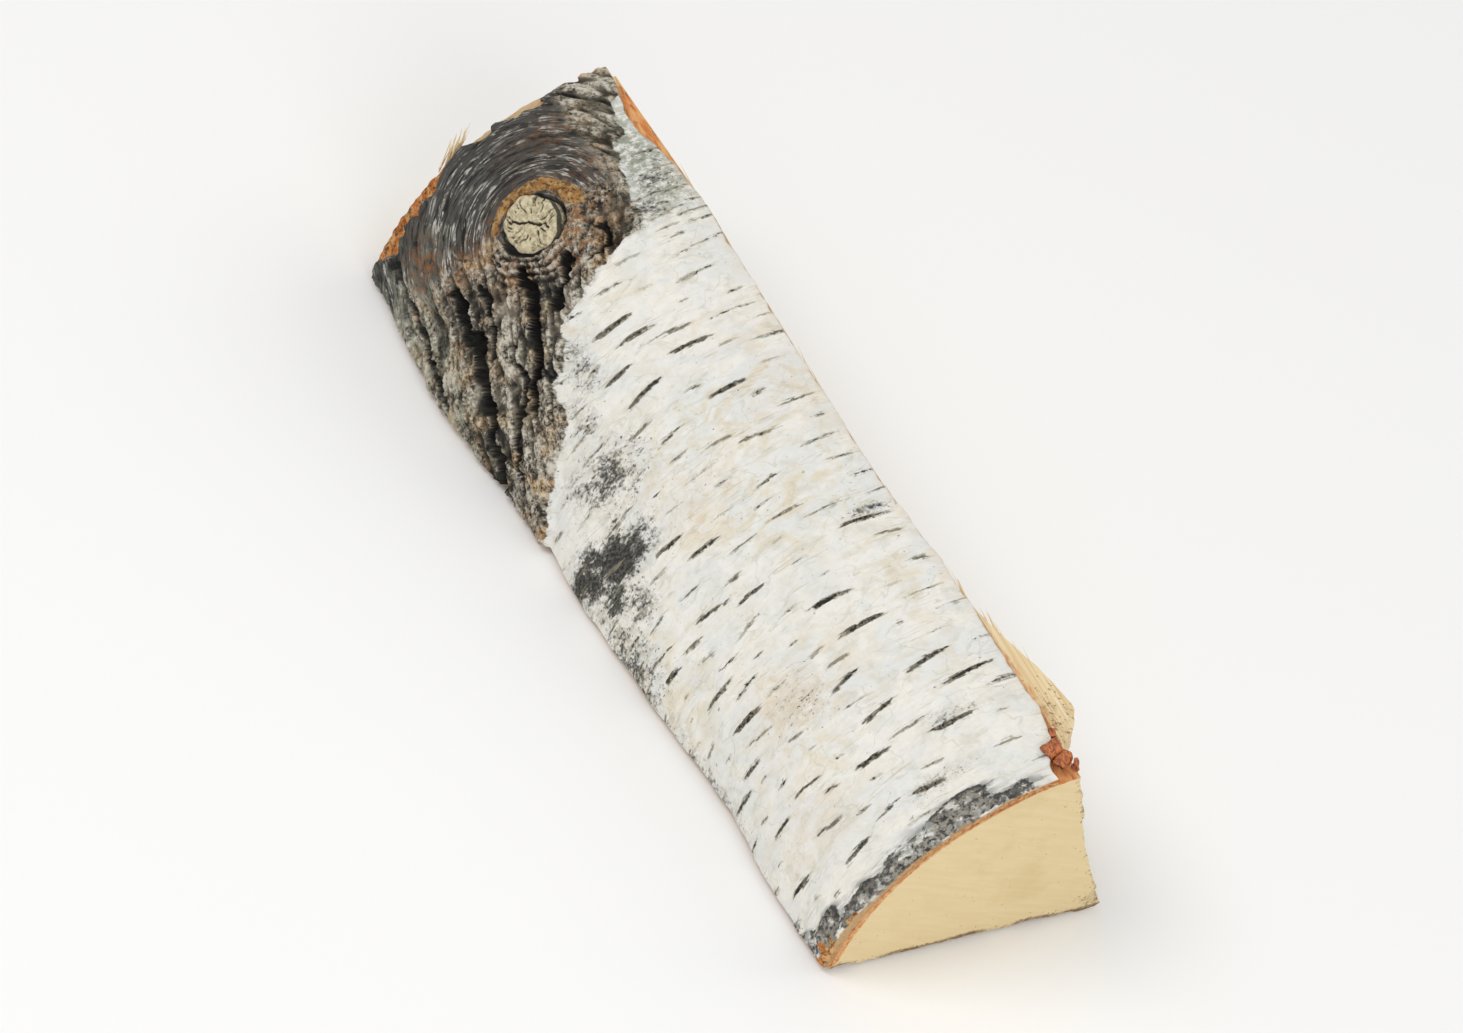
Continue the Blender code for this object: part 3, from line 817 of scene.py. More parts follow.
@dataclass(frozen=True)
class WoodFinish:
    """Pale birch: torn along the grain on the split faces, and sawn on the ends."""

    pale: Colour = (0.80, 0.63, 0.37, 1.0)
    light: Colour = (0.88, 0.76, 0.52, 1.0)
    tan: Colour = (0.66, 0.47, 0.235, 1.0)
    deep: Colour = (0.36, 0.21, 0.085, 1.0)
    sawn: Colour = (0.755, 0.595, 0.325, 1.0)
    sawn_light: Colour = (0.785, 0.635, 0.365, 1.0)
    sawn_deep: Colour = (0.62, 0.45, 0.20, 1.0)
    speck: Colour = (0.16, 0.09, 0.04, 1.0)
    orange: Colour = (0.62, 0.20, 0.045, 1.0)
    orange_pale: Colour = (0.75, 0.42, 0.17, 1.0)
    saw_slant: float = math.radians(22)
    roughness: float = 0.68
    relief_depth: float = 0.0004

    def material(self, shared: SharedEffects) -> bpy.types.Material:
        """Builds the material, which reads the attribute look.

        Args:
            shared: The node groups used by several materials.

        Returns:
            The material.
        """
        paint = Paint("birch wood", self.roughness, shared)
        place = paint.place()
        # shade: the darker marks at the clean end's lower edge, pith and side, and specks on the lip's crest.
        sawn, bast, relief, shade = paint.attribute("look")

        fibre = paint.streaks(place.scaled(16, 700, 700), 1.9)
        # Lighter where the fine relief stands up and darker in its dips: grain streaks with painted light and
        # shade.
        level = fibre + (relief - 0.5) * 0.55
        split = level.window(0.20, 0.58).mix(self.tan, self.pale)
        split = level.window(0.48, 0.90).mix(split, self.light)
        rings = place.noise((5, 620, 620), 2.0, 0.5)
        split = rings.window(0.52, 0.64, 0.0, 0.45).mix(split, self.tan)
        torn_lines = place.noise((22, 1500, 1500), 2.0, 0.5)
        split = torn_lines.window(0.66, 0.72, 0.0, 0.55).mix(split, self.deep)

        values = {"Vector": place, "Rotation": (self.saw_slant, 0, 0)}
        saw = paint.add("ShaderNodeMapping", values).noise((1, 55, 640), 4.0, 0.6)
        face = saw.window(0.30, 0.72).mix(self.sawn, self.sawn_light)
        cloud = place.noise((60, 60, 60), 3.0, 0.55)
        face = cloud.window(0.44, 0.72, 0.0, 0.40).mix(face, self.sawn_deep)

        dots = paint.specks(place.scaled(900, 1000, 1000), shade + 0.02)
        colour = (dots * 0.75).mix(sawn.mix(split, face), self.speck)
        grain = place.noise((180, 700, 700), 3.0, 0.6)
        inner = grain.window(0.36, 0.64).mix(self.orange, self.orange_pale)
        pits = place.noise((240, 1100, 1100), 4.0, 0.65)
        inner = pits.window(0.55, 0.66, 0.0, 0.75).mix(inner, self.speck)
        fray = place.scaled(240, 700, 700)
        colour = paint.ragged(bast, fray, 0.6, 0.25).mix(colour, inner)
        # Darker marks at the clean end's lower edge, pith and side, and brown specks on the lip's crest.
        dark_marks = paint.ragged(shade, fray, 0.9, 0.5)
        colour = (dark_marks * 0.75).mix(colour, self.speck)
        return paint.finish(colour, sawn.mix(fibre, saw), self.relief_depth, 0.5)


@dataclass(frozen=True)
class StubFinish:
    """The weathered end of the dead branch: grey-tan, with dark cracks."""

    light: Colour = (0.64, 0.57, 0.38, 1.0)
    mid: Colour = (0.40, 0.335, 0.21, 1.0)
    pit: Colour = (0.10, 0.08, 0.05, 1.0)
    dark: Colour = (0.014, 0.011, 0.009, 1.0)
    roughness: float = 0.85
    relief_depth: float = 0.0005

    def material(self, shared: SharedEffects) -> bpy.types.Material:
        """Builds the material, which reads the attributes flow and look.

        Args:
            shared: The node groups used by several materials.

        Returns:
            The material.
        """
        paint = Paint("dead branch", self.roughness, shared)
        flow = paint.flow()
        crack, rim, _, _ = paint.attribute("look")
        grain = flow.noise((850, 850, 850), 5.0, 0.7)
        colour = grain.window(0.40, 0.60).mix(self.mid, self.light)
        colour = grain.window(0.40, 0.28).mix(colour, self.pit)
        fray = flow.scaled(1100, 1100, 1100)
        colour = (paint.ragged(crack, fray, 0.7, 0.3) * 0.92).mix(colour, self.dark)
        colour = (paint.ragged(rim, fray, 1.0, 0.4) * 0.9).mix(colour, self.dark)
        return paint.finish(colour, grain, self.relief_depth, 0.7)


@dataclass(frozen=True)
class CurlFinish:
    """Dry inner bark that has curled up, orange to red-brown."""

    orange: Colour = (0.62, 0.19, 0.05, 1.0)
    brown: Colour = (0.20, 0.055, 0.025, 1.0)
    roughness: float = 0.6
    relief_depth: float = 0.0003

    def material(self, shared: SharedEffects) -> bpy.types.Material:
        """Builds the material.

        Args:
            shared: The node groups used by several materials.

        Returns:
            The material.
        """
        paint = Paint("curled inner bark", self.roughness, shared)
        fibre = paint.streaks(paint.place().scaled(500, 1400, 1400), 2.0)
        colour = fibre.window(0.34, 0.66).mix(self.brown, self.orange)
        return paint.finish(colour, fibre, self.relief_depth, 0.6)


@dataclass(frozen=True)
class Dash:
    """A dark dash of the bark.

    Its place, half its length round the log, half its width, its tilt, how dark it is, and how much of it
    is black.
    """

    distance: float
    arc: float
    half_length: float
    half_width: float
    tilt: float
    strength: float
    core: float


@dataclass(frozen=True)
class Dashes:
    """The dark dashes that run round the white bark: some bold ones by place, the others thrown."""

    bold: Course = (
        (0.073, 0.56), (0.079, 0.60), (0.086, 0.50), (0.090, 0.72), (0.095, 0.53), (0.107, 0.74),
        (0.135, 0.36), (0.142, 0.44), (0.158, 0.36), (0.162, 0.48), (0.160, 0.87), (0.163, 0.15),
        (0.177, 0.65), (0.177, 0.24), (0.188, 0.68), (0.188, 0.27), (0.198, 0.56), (0.202, 0.10),
        (0.205, 0.78), (0.210, 0.59), (0.213, 0.86), (0.217, 0.18), (0.220, 0.51), (0.223, 0.75),
        (0.231, 0.13), (0.237, 0.34), (0.236, 0.60),
    )
    count: int = 168
    tries: int = 9000
    seed: int = 23
    along: tuple[float, float] = (0.030, 0.244)
    around: tuple[float, float] = (0.02, 0.99)
    most_rough: float = 0.35
    crowded_tries: int = 90
    crowded_along: tuple[float, float] = (0.044, 0.066)
    crowded_around: tuple[float, float] = (0.82, 0.97)
    crowding: float = 0.55
    room_along: float = 0.0052
    room_around: float = 0.0105
    half_lengths: tuple[float, float] = (0.0012, 0.0052)
    half_widths: tuple[float, float] = (0.00026, 0.00060)
    bold_length: float = 0.0044
    bold_width: float = 0.00074
    tilt: float = 0.16
    reach: float = 0.0013
    nothing: float = -0.0009

    def one(self, form: LogForm, rng: random.Random, distance: float, u: float, bold: bool) -> Dash:
        """One dash at a place, with its other traits drawn at random.

        Args:
            form: The log's measures.
            rng: The source of the random traits.
            distance: From the knot end.
            u: The share of the way round.
            bold: Whether it is one of the long, dark ones.

        Returns:
            The dash.
        """
        size, girth, strength, core = (rng.random() for _ in range(4))
        tilt = rng.uniform(-self.tilt, self.tilt)
        arc = form.arc_at(distance, u)
        if bold:
            length, width = self.bold_length * (0.8 + 0.5 * size), self.bold_width * (0.85 + 0.4 * girth)
            return Dash(distance, arc, length, width, tilt, 1.0, 0.56 + 0.40 * core)
        low, high = self.half_lengths
        length = low + (high - low) * size**1.4
        low, high = self.half_widths
        width = low + (high - low) * girth * (0.45 + 0.55 * size)
        return Dash(distance, arc, length, width, tilt, strength, max(0.0, core * 1.5 - 0.42))

    def scatter(self, form: LogForm, rough: "RoughBark") -> list[Dash]:
        """Throws dashes at the white bark and keeps those that have room.

        Args:
            form: The log's measures.
            rough: The rough bark, which carries none.

        Returns:
            The dashes.
        """
        rng = random.Random(self.seed)
        kept = [self.one(form, rng, distance, u, True) for distance, u in self.bold]
        for number in range(self.tries):
            if len(kept) == self.count:
                break
            crowded = number < self.crowded_tries
            distance, u = rng.uniform(*self.along), rng.uniform(*self.around)
            if crowded:
                distance, u = rng.uniform(*self.crowded_along), rng.uniform(*self.crowded_around)
            dash = self.one(form, rng, distance, u, False)
            if float(rough.field(np.array(u), form.x_at(distance))) > self.most_rough:
                continue
            gaps = []
            for other in kept:
                along, around = dash.distance - other.distance, dash.arc - other.arc
                gaps.append(math.hypot(along / self.room_along, around / self.room_around))
            if min(gaps) > (self.crowding if crowded else 1.0):
                kept.append(dash)
        return kept

    def fields(
        self, form: LogForm, rough: "RoughBark", x: np.ndarray, arc: np.ndarray
    ) -> dict[str, np.ndarray]:
        """The dashes as fields over the bark's grid.

        Args:
            form: The log's measures.
            rough: The rough bark.
            x: The stations' places along the log, before the grid is bent.
            arc: The way round the bark at each point of the grid.

        Returns:
            The offset from the nearest dash's middle line, its half width and its core's half width there,
            all in metres, and how dark it is.
        """
        shape = arc.shape
        starts = {"offset": self.reach, "width": self.nothing, "core": self.nothing, "strength": 0.0}
        fields = {name: np.full(shape, value) for name, value in starts.items()}
        nearest = np.full(shape, self.reach)
        for dash in self.scatter(form, rough):
            middle = dash.distance - form.length / 2
            rows = np.abs(x - middle) < self.reach + abs(dash.tilt) * dash.half_length
            side = (x[rows] - middle)[:, None] + dash.tilt * (arc[rows] - dash.arc)
            run = (arc[rows] - dash.arc) / dash.half_length
            past = np.maximum(np.abs(run) - 1, 0) * dash.half_length
            gap = np.hypot(side, past)
            here = gap < nearest[rows]
            fall = 5 * np.maximum(np.abs(side) - 0.7 * self.reach, 0)
            width = dash.half_width * (1 - np.abs(run) ** 3) - fall
            off_centre = 1.15 * run - 0.35 * dash.tilt / self.tilt
            black = 0.9 * dash.half_width * (dash.core - off_centre**2) - fall
            fresh = {"offset": side, "width": width, "core": black, "strength": dash.strength}
            for name, values in fresh.items():
                fields[name][rows] = np.where(here, values, fields[name][rows])
            nearest[rows] = np.where(here, gap, nearest[rows])
        for name in ("width", "core"):
            fields[name] = np.maximum(fields[name], self.nothing)
        return fields


@dataclass(frozen=True)
class Fissure:
    """A crack in the bark: depth, half width, and its course as distance from the knot end, and u."""

    depth: float
    half_width: float
    course: Course


@dataclass(frozen=True)
class RoughBark:
    """The dark, ridged bark round the branch and below it."""

    form: LogForm
    edge: Course = (
        (-0.010, 1.10), (0.013, 0.93), (0.030, 0.85), (0.047, 0.80), (0.0535, 0.78), (0.055, 0.70),
        (0.058, 0.62), (0.062, 0.55), (0.064, 0.47), (0.067, 0.43), (0.073, 0.37), (0.084, 0.32),
        (0.091, 0.24), (0.098, 0.15), (0.105, 0.02), (0.108, -0.10),
    )
    ragged: Ripple = Ripple(0.045, 0.055, 0.0055, 5.7)
    blend: float = 0.06
    lift: float = 0.0028
    broad: Ripple = Ripple(0.0015, 0.014, 0.045, 1.3)
    broad_bend: Ripple = Ripple(0.007, 1.0, 0.040, 2.0)
    plates_begin: float = 0.022
    ridges: Grain = Grain(0.00045, 0.0024, 0.018, 12.5)
    fibres: Grain = Grain(0.00026, 0.0012, 0.012, 31.5)
    knobs: Grain = Grain(0.00050, 0.0018, 0.0030, 47.5)
    plates: Grain = Grain(0.0011, 0.0056, 0.0200, 7.5)
    chunks: Grain = Grain(0.00040, 0.0017, 0.0060, 17.5)
    side_slope: float = 0.5
    fissures: tuple = (
        Fissure(0.0046, 0.0012, ((0.034, 0.25), (0.050, 0.23), (0.061, 0.19), (0.071, 0.13), (0.084, 0.03))),
        Fissure(0.0040, 0.0011, ((0.046, 0.45), (0.058, 0.42), (0.067, 0.36), (0.078, 0.24))),
        Fissure(0.0022, 0.0008, ((0.006, 0.13), (0.030, 0.10), (0.056, 0.05))),
        Fissure(0.0028, 0.0009, ((0.051, 0.58), (0.056, 0.53), (0.060, 0.47))),
        Fissure(0.0020, 0.0007, ((0.060, 0.31), (0.071, 0.27), (0.080, 0.17), (0.090, 0.09))),
        Fissure(0.0018, 0.0007, ((0.047, 0.70), (0.053, 0.68), (0.054, 0.62))),
        Fissure(0.0018, 0.0007, ((0.040, 0.33), (0.048, 0.31), (0.058, 0.24))),
    )
    wander: Ripple = Ripple(0.0024, 0.0060, 0.0055, 71.0)
    fine_wander: Ripple = Ripple(0.0009, 0.0018, 0.0016, 73.0)
    full_shade_depth: float = 0.0046

    def field(self, u: np.ndarray, x: np.ndarray) -> np.ndarray:
        """1 in the rough bark, 0 in the white bark, and a half on the border."""
        distance = self.form.from_knot_end(x)
        edge = follow(self.edge, distance)
        edge = np.where(distance > self.edge[-1][0], -1.0, edge)
        inside = edge + self.ragged.at(u, x) - u
        return smooth_step(-self.blend / 2, self.blend / 2, inside)

    def flow(self, u: np.ndarray, x: np.ndarray) -> np.ndarray:
        """The fibre's line, which arches over the branch, with the place along and around."""
        form = self.form
        along = form.knot_x - x
        around = form.girth(u, x) - form.girth(np.array(form.knot_u), np.array(form.knot_x))
        side = around - self.side_slope * np.minimum(along, 0.0)
        line = np.hypot(np.maximum(along, 0.0), side)
        return np.stack([line, along, around], axis=-1)

    def arch(self, flow: np.ndarray) -> np.ndarray:
        """1 where the bark's fibres run smoothly over the branch, and 0 where it is knobbly."""
        along, around = flow[..., 1], flow[..., 2]
        turn = np.arctan2(around, along)
        wobble = 0.25 * smooth_noise(flow / 0.006 + 3.3)
        left = smooth_step(-1.45, -1.10, turn + wobble)
        right = 1 - smooth_step(1.30, 1.60, turn + wobble)
        below_apex = 1 - smooth_step(0.0190, 0.0235, around + 0.010 * wobble)
        return left * right * below_apex

    def cracked(self, u: np.ndarray, x: np.ndarray) -> tuple[np.ndarray, np.ndarray]:
        """How deep the cracks cut, and the painted shade that they lay on the bark beside them."""
        form = self.form
        arc, distance = form.arc_length(u, x), form.from_knot_end(x)
        shift = [sum(w.at(arc + far, distance) for w in (self.wander, self.fine_wander)) for far in (0, 0.5)]
        here = np.stack([distance, arc], axis=-1) + np.stack(shift, axis=-1)
        deepest, shadow = np.zeros(arc.shape), np.zeros(arc.shape)
        for fissure in self.fissures:
            places = [(away, form.arc_at(away, share)) for away, share in fissure.course]
            for start, end in zip(places, places[1:]):
                run = np.subtract(end, start)
                share = np.clip(((here - start) @ run) / (run @ run), 0, 1)
                gap = np.linalg.norm(here - start - share[..., None] * run, axis=-1)
                wall = 1 - smooth_step(0.45 * fissure.half_width, 1.35 * fissure.half_width, gap)
                deepest = np.maximum(deepest, fissure.depth * wall)
                # Painted shade on the bark beside each crack, strongest beside the deepest one.
                shade = bump(gap, 1.6 * fissure.depth) * fissure.depth / self.full_shade_depth
                shadow = np.maximum(shadow, shade)
        return deepest, shadow

    def relief(self, u: np.ndarray, x: np.ndarray, flow: np.ndarray) -> tuple[np.ndarray, np.ndarray]:
        """How far the rough bark stands above the smooth, and how light it is with painted shade.

        Args:
            u: The share of the way round.
            x: The place along the log.
            flow: The flow at these places.

        Returns:
            The height, and its lightness: 0 in a crack and 1 on a crest, partly painted shade and light.
        """
        form = self.form
        distance = np.hypot(flow[..., 1], flow[..., 2])
        arc = form.arc_length(u, x)
        away = 1 - bump(distance, self.plates_begin)
        arch = self.arch(flow)
        broad = self.broad.at(arc + self.broad_bend.at(0, x), x)
        ridges = self.ridges.ridged(flow) * (0.35 + 0.65 * away)
        fibres = self.fibres.ridged(flow) * (0.4 + 0.6 * arch)
        knobs = self.knobs.at(flow) * (1 - 0.8 * arch)
        far = smooth_step(0.012, 0.020, distance)
        near_foot = 1 - smooth_step(-0.030, -0.018, flow[..., 2])
        cracks = self.plates.plates(flow, 0.20) * far * (1 - 0.7 * near_foot)
        cracks = (cracks + self.chunks.plates(flow, 0.25)) * (1 - 0.85 * arch)
        fissures, shadow = self.cracked(u, x)
        height = self.lift * away + broad * away + ridges + fibres + knobs + cracks - fissures
        # Painted light on the crests and painted shade in and beside the cracks, over the bark's own colour.
        light = 0.57 + (ridges + fibres + knobs) / 0.0026 + cracks / 0.0036
        return height, light - fissures / 0.0018 - 0.20 * shadow


@dataclass(frozen=True)
class Bark:
    """The whole bark: an outer face with all its relief, torn edges, and the inner side on the wood."""

    form: LogForm
    rough: RoughBark
    dashes: Dashes = Dashes()
    rough_stations: int = 320
    white_stations: int = 204
    rough_length: float = 0.108
    arc_steps: int = 172
    edge_steps: int = 4
    inner_steps: int = 6
    lower_edge: float = 0.020
    upper_edge: float = 0.999
    lower_edge_wear: Ripple = Ripple(0.006, 1.0, 0.013, 6.6)
    upper_edge_wear: Ripple = Ripple(0.009, 1.0, 0.016, 7.7)
    fine_edge_wear: Ripple = Ripple(0.0060, 1.0, 0.0024, 17.2)
    knot_end_chip: Swelling = Swelling(0.050, 0.018, 0.014)
    clean_end_chip: Swelling = Swelling(0.075, 0.249, 0.0088)
    torn: Ripple = Ripple(0.010, 1.0, 0.006, 27.4)
    torn_mean: float = 0.007
    station_bend: Ripple = Ripple(0.0016, 0.026, 0.034, 54.0)
    foot_wear: Ripple = Ripple(0.0010, 1.0, 0.022, 8.4)
    white_wear: Ripple = Ripple(0.0004, 0.014, 0.011, 9.2)
    white_fine: Ripple = Ripple(0.00014, 0.0045, 0.0022, 14.8)
    dash_rise: float = 0.00020
    thinnest: float = 0.0010
    thickest: float = 0.0125
    collar: Swelling = Swelling(0.0026, 0.0100, 0.0048)
    lip_pitch: float = 0.0022
    lip_height: float = 0.00050
    stub_radius: float = 0.0082
    groove: float = 0.0044
    flake: Course = (
        (0.0, 0.0022), (0.13, 0.0062), (0.27, 0.0060), (0.37, 0.0042), (0.43, 0.0010), (0.50, 0.0012),
        (0.62, 0.0022), (0.74, 0.0022), (0.82, 0.0008), (0.88, 0.0),
    )
    flake_edge_wear: Ripple = Ripple(0.0030, 0.004, 0.003, 64.0)
    flake_wear: Ripple = Ripple(0.0007, 0.0022, 0.0022, 93.0)
    margin: Course = (
        (0.0, 0.015), (0.05, 0.0085), (0.15, 0.0050), (0.25, 0.0036), (0.42, 0.0042), (0.52, 0.0052),
        (0.68, 0.0066), (0.78, 0.0030), (0.88, 0.0004), (0.94, -0.0040), (1.0, -0.0040),
    )
    margin_wear: Ripple = Ripple(0.0034, 0.006, 0.004, 83.0)
    burnt: Course = (
        (0.0, 0.8), (0.10, 0.8), (0.20, 0.62), (0.36, 0.60), (0.44, 1.0), (0.66, 1.0), (0.74, 0.6),
        (0.90, 0.5), (1.0, 0.3),
    )
    burnt_wear: Ripple = Ripple(0.0007, 0.0022, 0.0022, 91.0)
    lumps: tuple = (
        Patch(0.2465, 0.49, 0.0016, 0.0022, 1.0),
        Patch(0.2450, 0.61, 0.0016, 0.0022, 1.0),
        Patch(0.2468, 0.42, 0.0016, 0.0022, 1.0),
        Patch(0.2455, 0.55, 0.0016, 0.0022, 1.0),
    )
    lump_height: float = 0.0011
    sharp_from: float = 70.0
    grey_patches: tuple = (
        Patch(0.107, 0.31, 0.0105, 0.0140, 0.52),
        Patch(0.102, 0.22, 0.006, 0.007, 0.40),
        Patch(0.114, 0.36, 0.006, 0.006, 0.36),
        Patch(0.123, 0.09, 0.0068, 0.011, 0.95),
        Patch(0.127, 0.20, 0.0072, 0.013, 1.00),
        Patch(0.134, 0.14, 0.0060, 0.012, 0.62),
        Patch(0.119, 0.26, 0.0030, 0.004, 0.50),
        Patch(0.141, 0.18, 0.007, 0.010, 0.46),
        Patch(0.150, 0.05, 0.018, 0.010, 0.52),
        Patch(0.186, 0.02, 0.030, 0.006, 0.40),
        Patch(0.040, 0.90, 0.012, 0.006, 0.42),
        Patch(0.048, 0.84, 0.005, 0.008, 0.42),
        Patch(0.077, 0.42, 0.010, 0.005, 0.45),
        Patch(0.090, 0.34, 0.010, 0.006, 0.40),
        Patch(0.196, 0.44, 0.012, 0.012, 0.24),
        Patch(0.158, 0.91, 0.0022, 0.006, 0.48),
        Patch(0.222, 0.76, 0.0030, 0.007, 0.40),
        Patch(0.236, 0.62, 0.0030, 0.010, 0.36),
    )
    cream_patches: tuple = (
        Patch(0.115, 0.62, 0.018, 0.024, 0.60),
        Patch(0.145, 0.74, 0.016, 0.018, 0.55),
        Patch(0.135, 0.50, 0.016, 0.012, 0.50),
        Patch(0.160, 0.12, 0.022, 0.014, 0.45),
        Patch(0.196, 0.42, 0.020, 0.022, 0.40),
        Patch(0.068, 0.52, 0.004, 0.010, 0.65),
        Patch(0.080, 0.74, 0.008, 0.006, 0.45),
        Patch(0.176, 0.86, 0.018, 0.008, 0.40),
        Patch(0.207, 0.92, 0.004, 0.006, 0.60),
    )
    silver_patches: tuple = (
        Patch(0.052, 0.34, 0.008, 0.006, 1.0),
        Patch(0.062, 0.29, 0.009, 0.005, 1.0),
        Patch(0.074, 0.21, 0.010, 0.005, 0.8),
        Patch(0.006, 0.90, 0.010, 0.010, 0.8),
        Patch(0.022, 0.84, 0.010, 0.005, 0.5),
        Patch(0.040, 0.12, 0.016, 0.008, 0.5),
        Patch(0.060, 0.50, 0.006, 0.006, 0.6),
    )
    lichen_patches: tuple = (
        Patch(0.028, 0.895, 0.018, 0.006, 0.95),
        Patch(0.044, 0.88, 0.008, 0.010, 0.70),
        Patch(0.030, 0.08, 0.026, 0.012, 0.95),
        Patch(0.062, 0.03, 0.020, 0.008, 0.70),
        Patch(0.018, 0.27, 0.007, 0.006, 0.50),
    )
    peach_patches: tuple = (
        Patch(0.193, 0.36, 0.012, 0.012, 0.8),
        Patch(0.130, 0.46, 0.010, 0.010, 0.7),
        Patch(0.225, 0.24, 0.014, 0.014, 0.55),
        Patch(0.108, 0.90, 0.020, 0.006, 0.6),
    )
    rust_patches: tuple = (
        Patch(0.020, 0.21, 0.008, 0.006, 1.0),
        Patch(0.032, 0.31, 0.006, 0.009, 0.8),
        Patch(0.043, 0.68, 0.006, 0.007, 1.0),
        Patch(0.050, 0.60, 0.004, 0.005, 0.9),
        Patch(0.014, 0.74, 0.006, 0.010, 0.4),
        Patch(0.030, 0.78, 0.008, 0.004, 0.5),
        Patch(0.050, 0.20, 0.010, 0.005, 0.4),
        Patch(0.046, 0.40, 0.005, 0.010, 0.4),
        Patch(0.100, 0.03, 0.008, 0.004, 0.5),
    )

    def patch_mask(self, patches: Sequence[Patch], u: np.ndarray, x: np.ndarray) -> np.ndarray:
        """The strongest of some patches at each place."""
        distance, arc = self.form.from_knot_end(x), self.form.arc_length(u, x)
        mask = np.zeros(distance.shape)
        for patch in patches:
            centre = self.form.arc_at(patch.distance, patch.u)
            reach = np.hypot((distance - patch.distance) / patch.along, (arc - centre) / patch.around)
            mask = np.maximum(mask, patch.strength * np.exp(-(reach**2)))
        return mask

    def chips(self, x: np.ndarray) -> np.ndarray:
        """How far two chips cut into the bark's upper edge, in u."""
        distance = self.form.from_knot_end(x)
        return self.knot_end_chip.at(distance) + self.clean_end_chip.at(distance)

    def edges(self, x: np.ndarray) -> tuple[np.ndarray, np.ndarray, np.ndarray, np.ndarray]:
        """The u of the bark's edges along the log: lower and upper at the wood, then at the outer face."""
        fine = self.fine_edge_wear.at(0, x)
        low = self.lower_edge + self.lower_edge_wear.at(0, x) + 0.5 * fine
        worn = np.minimum(self.upper_edge_wear.at(0, x), 0.002)
        high = self.upper_edge + worn - self.chips(x) + 0.5 * fine
        torn = np.maximum(0.002, self.torn_mean + self.torn.at(0, x))
        return low, high, low + 0.5 * torn, high - torn + 0.5 * fine

    def knot_relief(self, flow: np.ndarray, thickness: np.ndarray) -> tuple[np.ndarray, np.ndarray]:
        """The collar, the swirled lips and the groove round the branch.

        Args:
            flow: The flow at each place.
            thickness: The bark's thickness without them.

        Returns:
            The thickness with them, and the lips, which are 1 on a crest and -1 between two.
        """
        along, around = flow[..., 1], flow[..., 2]
        distance = np.hypot(along, around)
        turn = np.arctan2(along, around)
        circle = np.stack([2 * np.cos(turn), 2 * np.sin(turn), distance / 0.006], axis=-1)
        wobble = 0.0017 * smooth_noise(circle)
        raised = thickness + self.collar.at(distance + wobble)
        below = smooth_step(0.20, 0.75, np.cos(turn + math.radians(124)))
        lips = np.cos(math.tau * (distance + wobble) / self.lip_pitch) * bump(distance - 0.0130, 0.0052)
        lips = lips * (0.06 + 0.94 * below)
        raised = raised + self.lip_height * lips
        outside = smooth_step(self.stub_radius - 0.0002, self.stub_radius + 0.0005, distance + 0.2 * wobble)
        return self.groove + (raised - self.groove) * outside, lips

    def outer_face(self, u: np.ndarray, x: np.ndarray) -> dict[str, np.ndarray]:
        """The thickness and every mask of the outer face.

        Args:
            u: The share of the way round, as stations by steps.
            x: The place along the log, of the same shape.

        Returns:
            The thickness and the masks by name.
        """
        form = self.form
        flow = self.rough.flow(u, x)
        rough = self.rough.field(u, x)
        height, light = self.rough.relief(u, x, flow)
        arc = form.arc_length(u, x)
        from_clean = form.from_clean_end(x)
        foot = 1 - smooth_step(0.0, form.foot_top, u)
        dashes = self.dashes.fields(form, self.rough, self.station_places(), arc)
        inside = smooth_step(-0.0002, 0.0002, dashes["width"] - np.abs(dashes["offset"])) * (rough < 0.5)

        smooth_bark = self.white_wear.at(arc, x) + self.white_fine.at(arc, x) + self.dash_rise * inside
        thickness = form.bark + rough * height + (1 - rough) * smooth_bark + foot * self.foot_wear.at(0, x)
        thickness, lips = self.knot_relief(flow, thickness)
        past_margin = from_clean - follow(self.margin, u) + self.margin_wear.at(arc, x)
        scorched = 1 - smooth_step(-0.0016, 0.0042, past_margin)
        lump = self.patch_mask(self.lumps, u, x)
        thickness = thickness + self.lump_height * lump + scorched * self.burnt_wear.at(arc, x)
        thickness = thickness - 0.0006 * smooth_step(0.0016, 0.0, from_clean)

        reach = follow(self.flake, u)
        gap = form.from_knot_end(x) - reach + self.flake_edge_wear.at(arc, x) * (reach > 0)
        flaked = (1 - smooth_step(-0.0007, 0.0007, gap)) * (reach > 0)
        thickness = thickness * (1 - 0.55 * flaked) + flaked * self.flake_wear.at(arc, x)

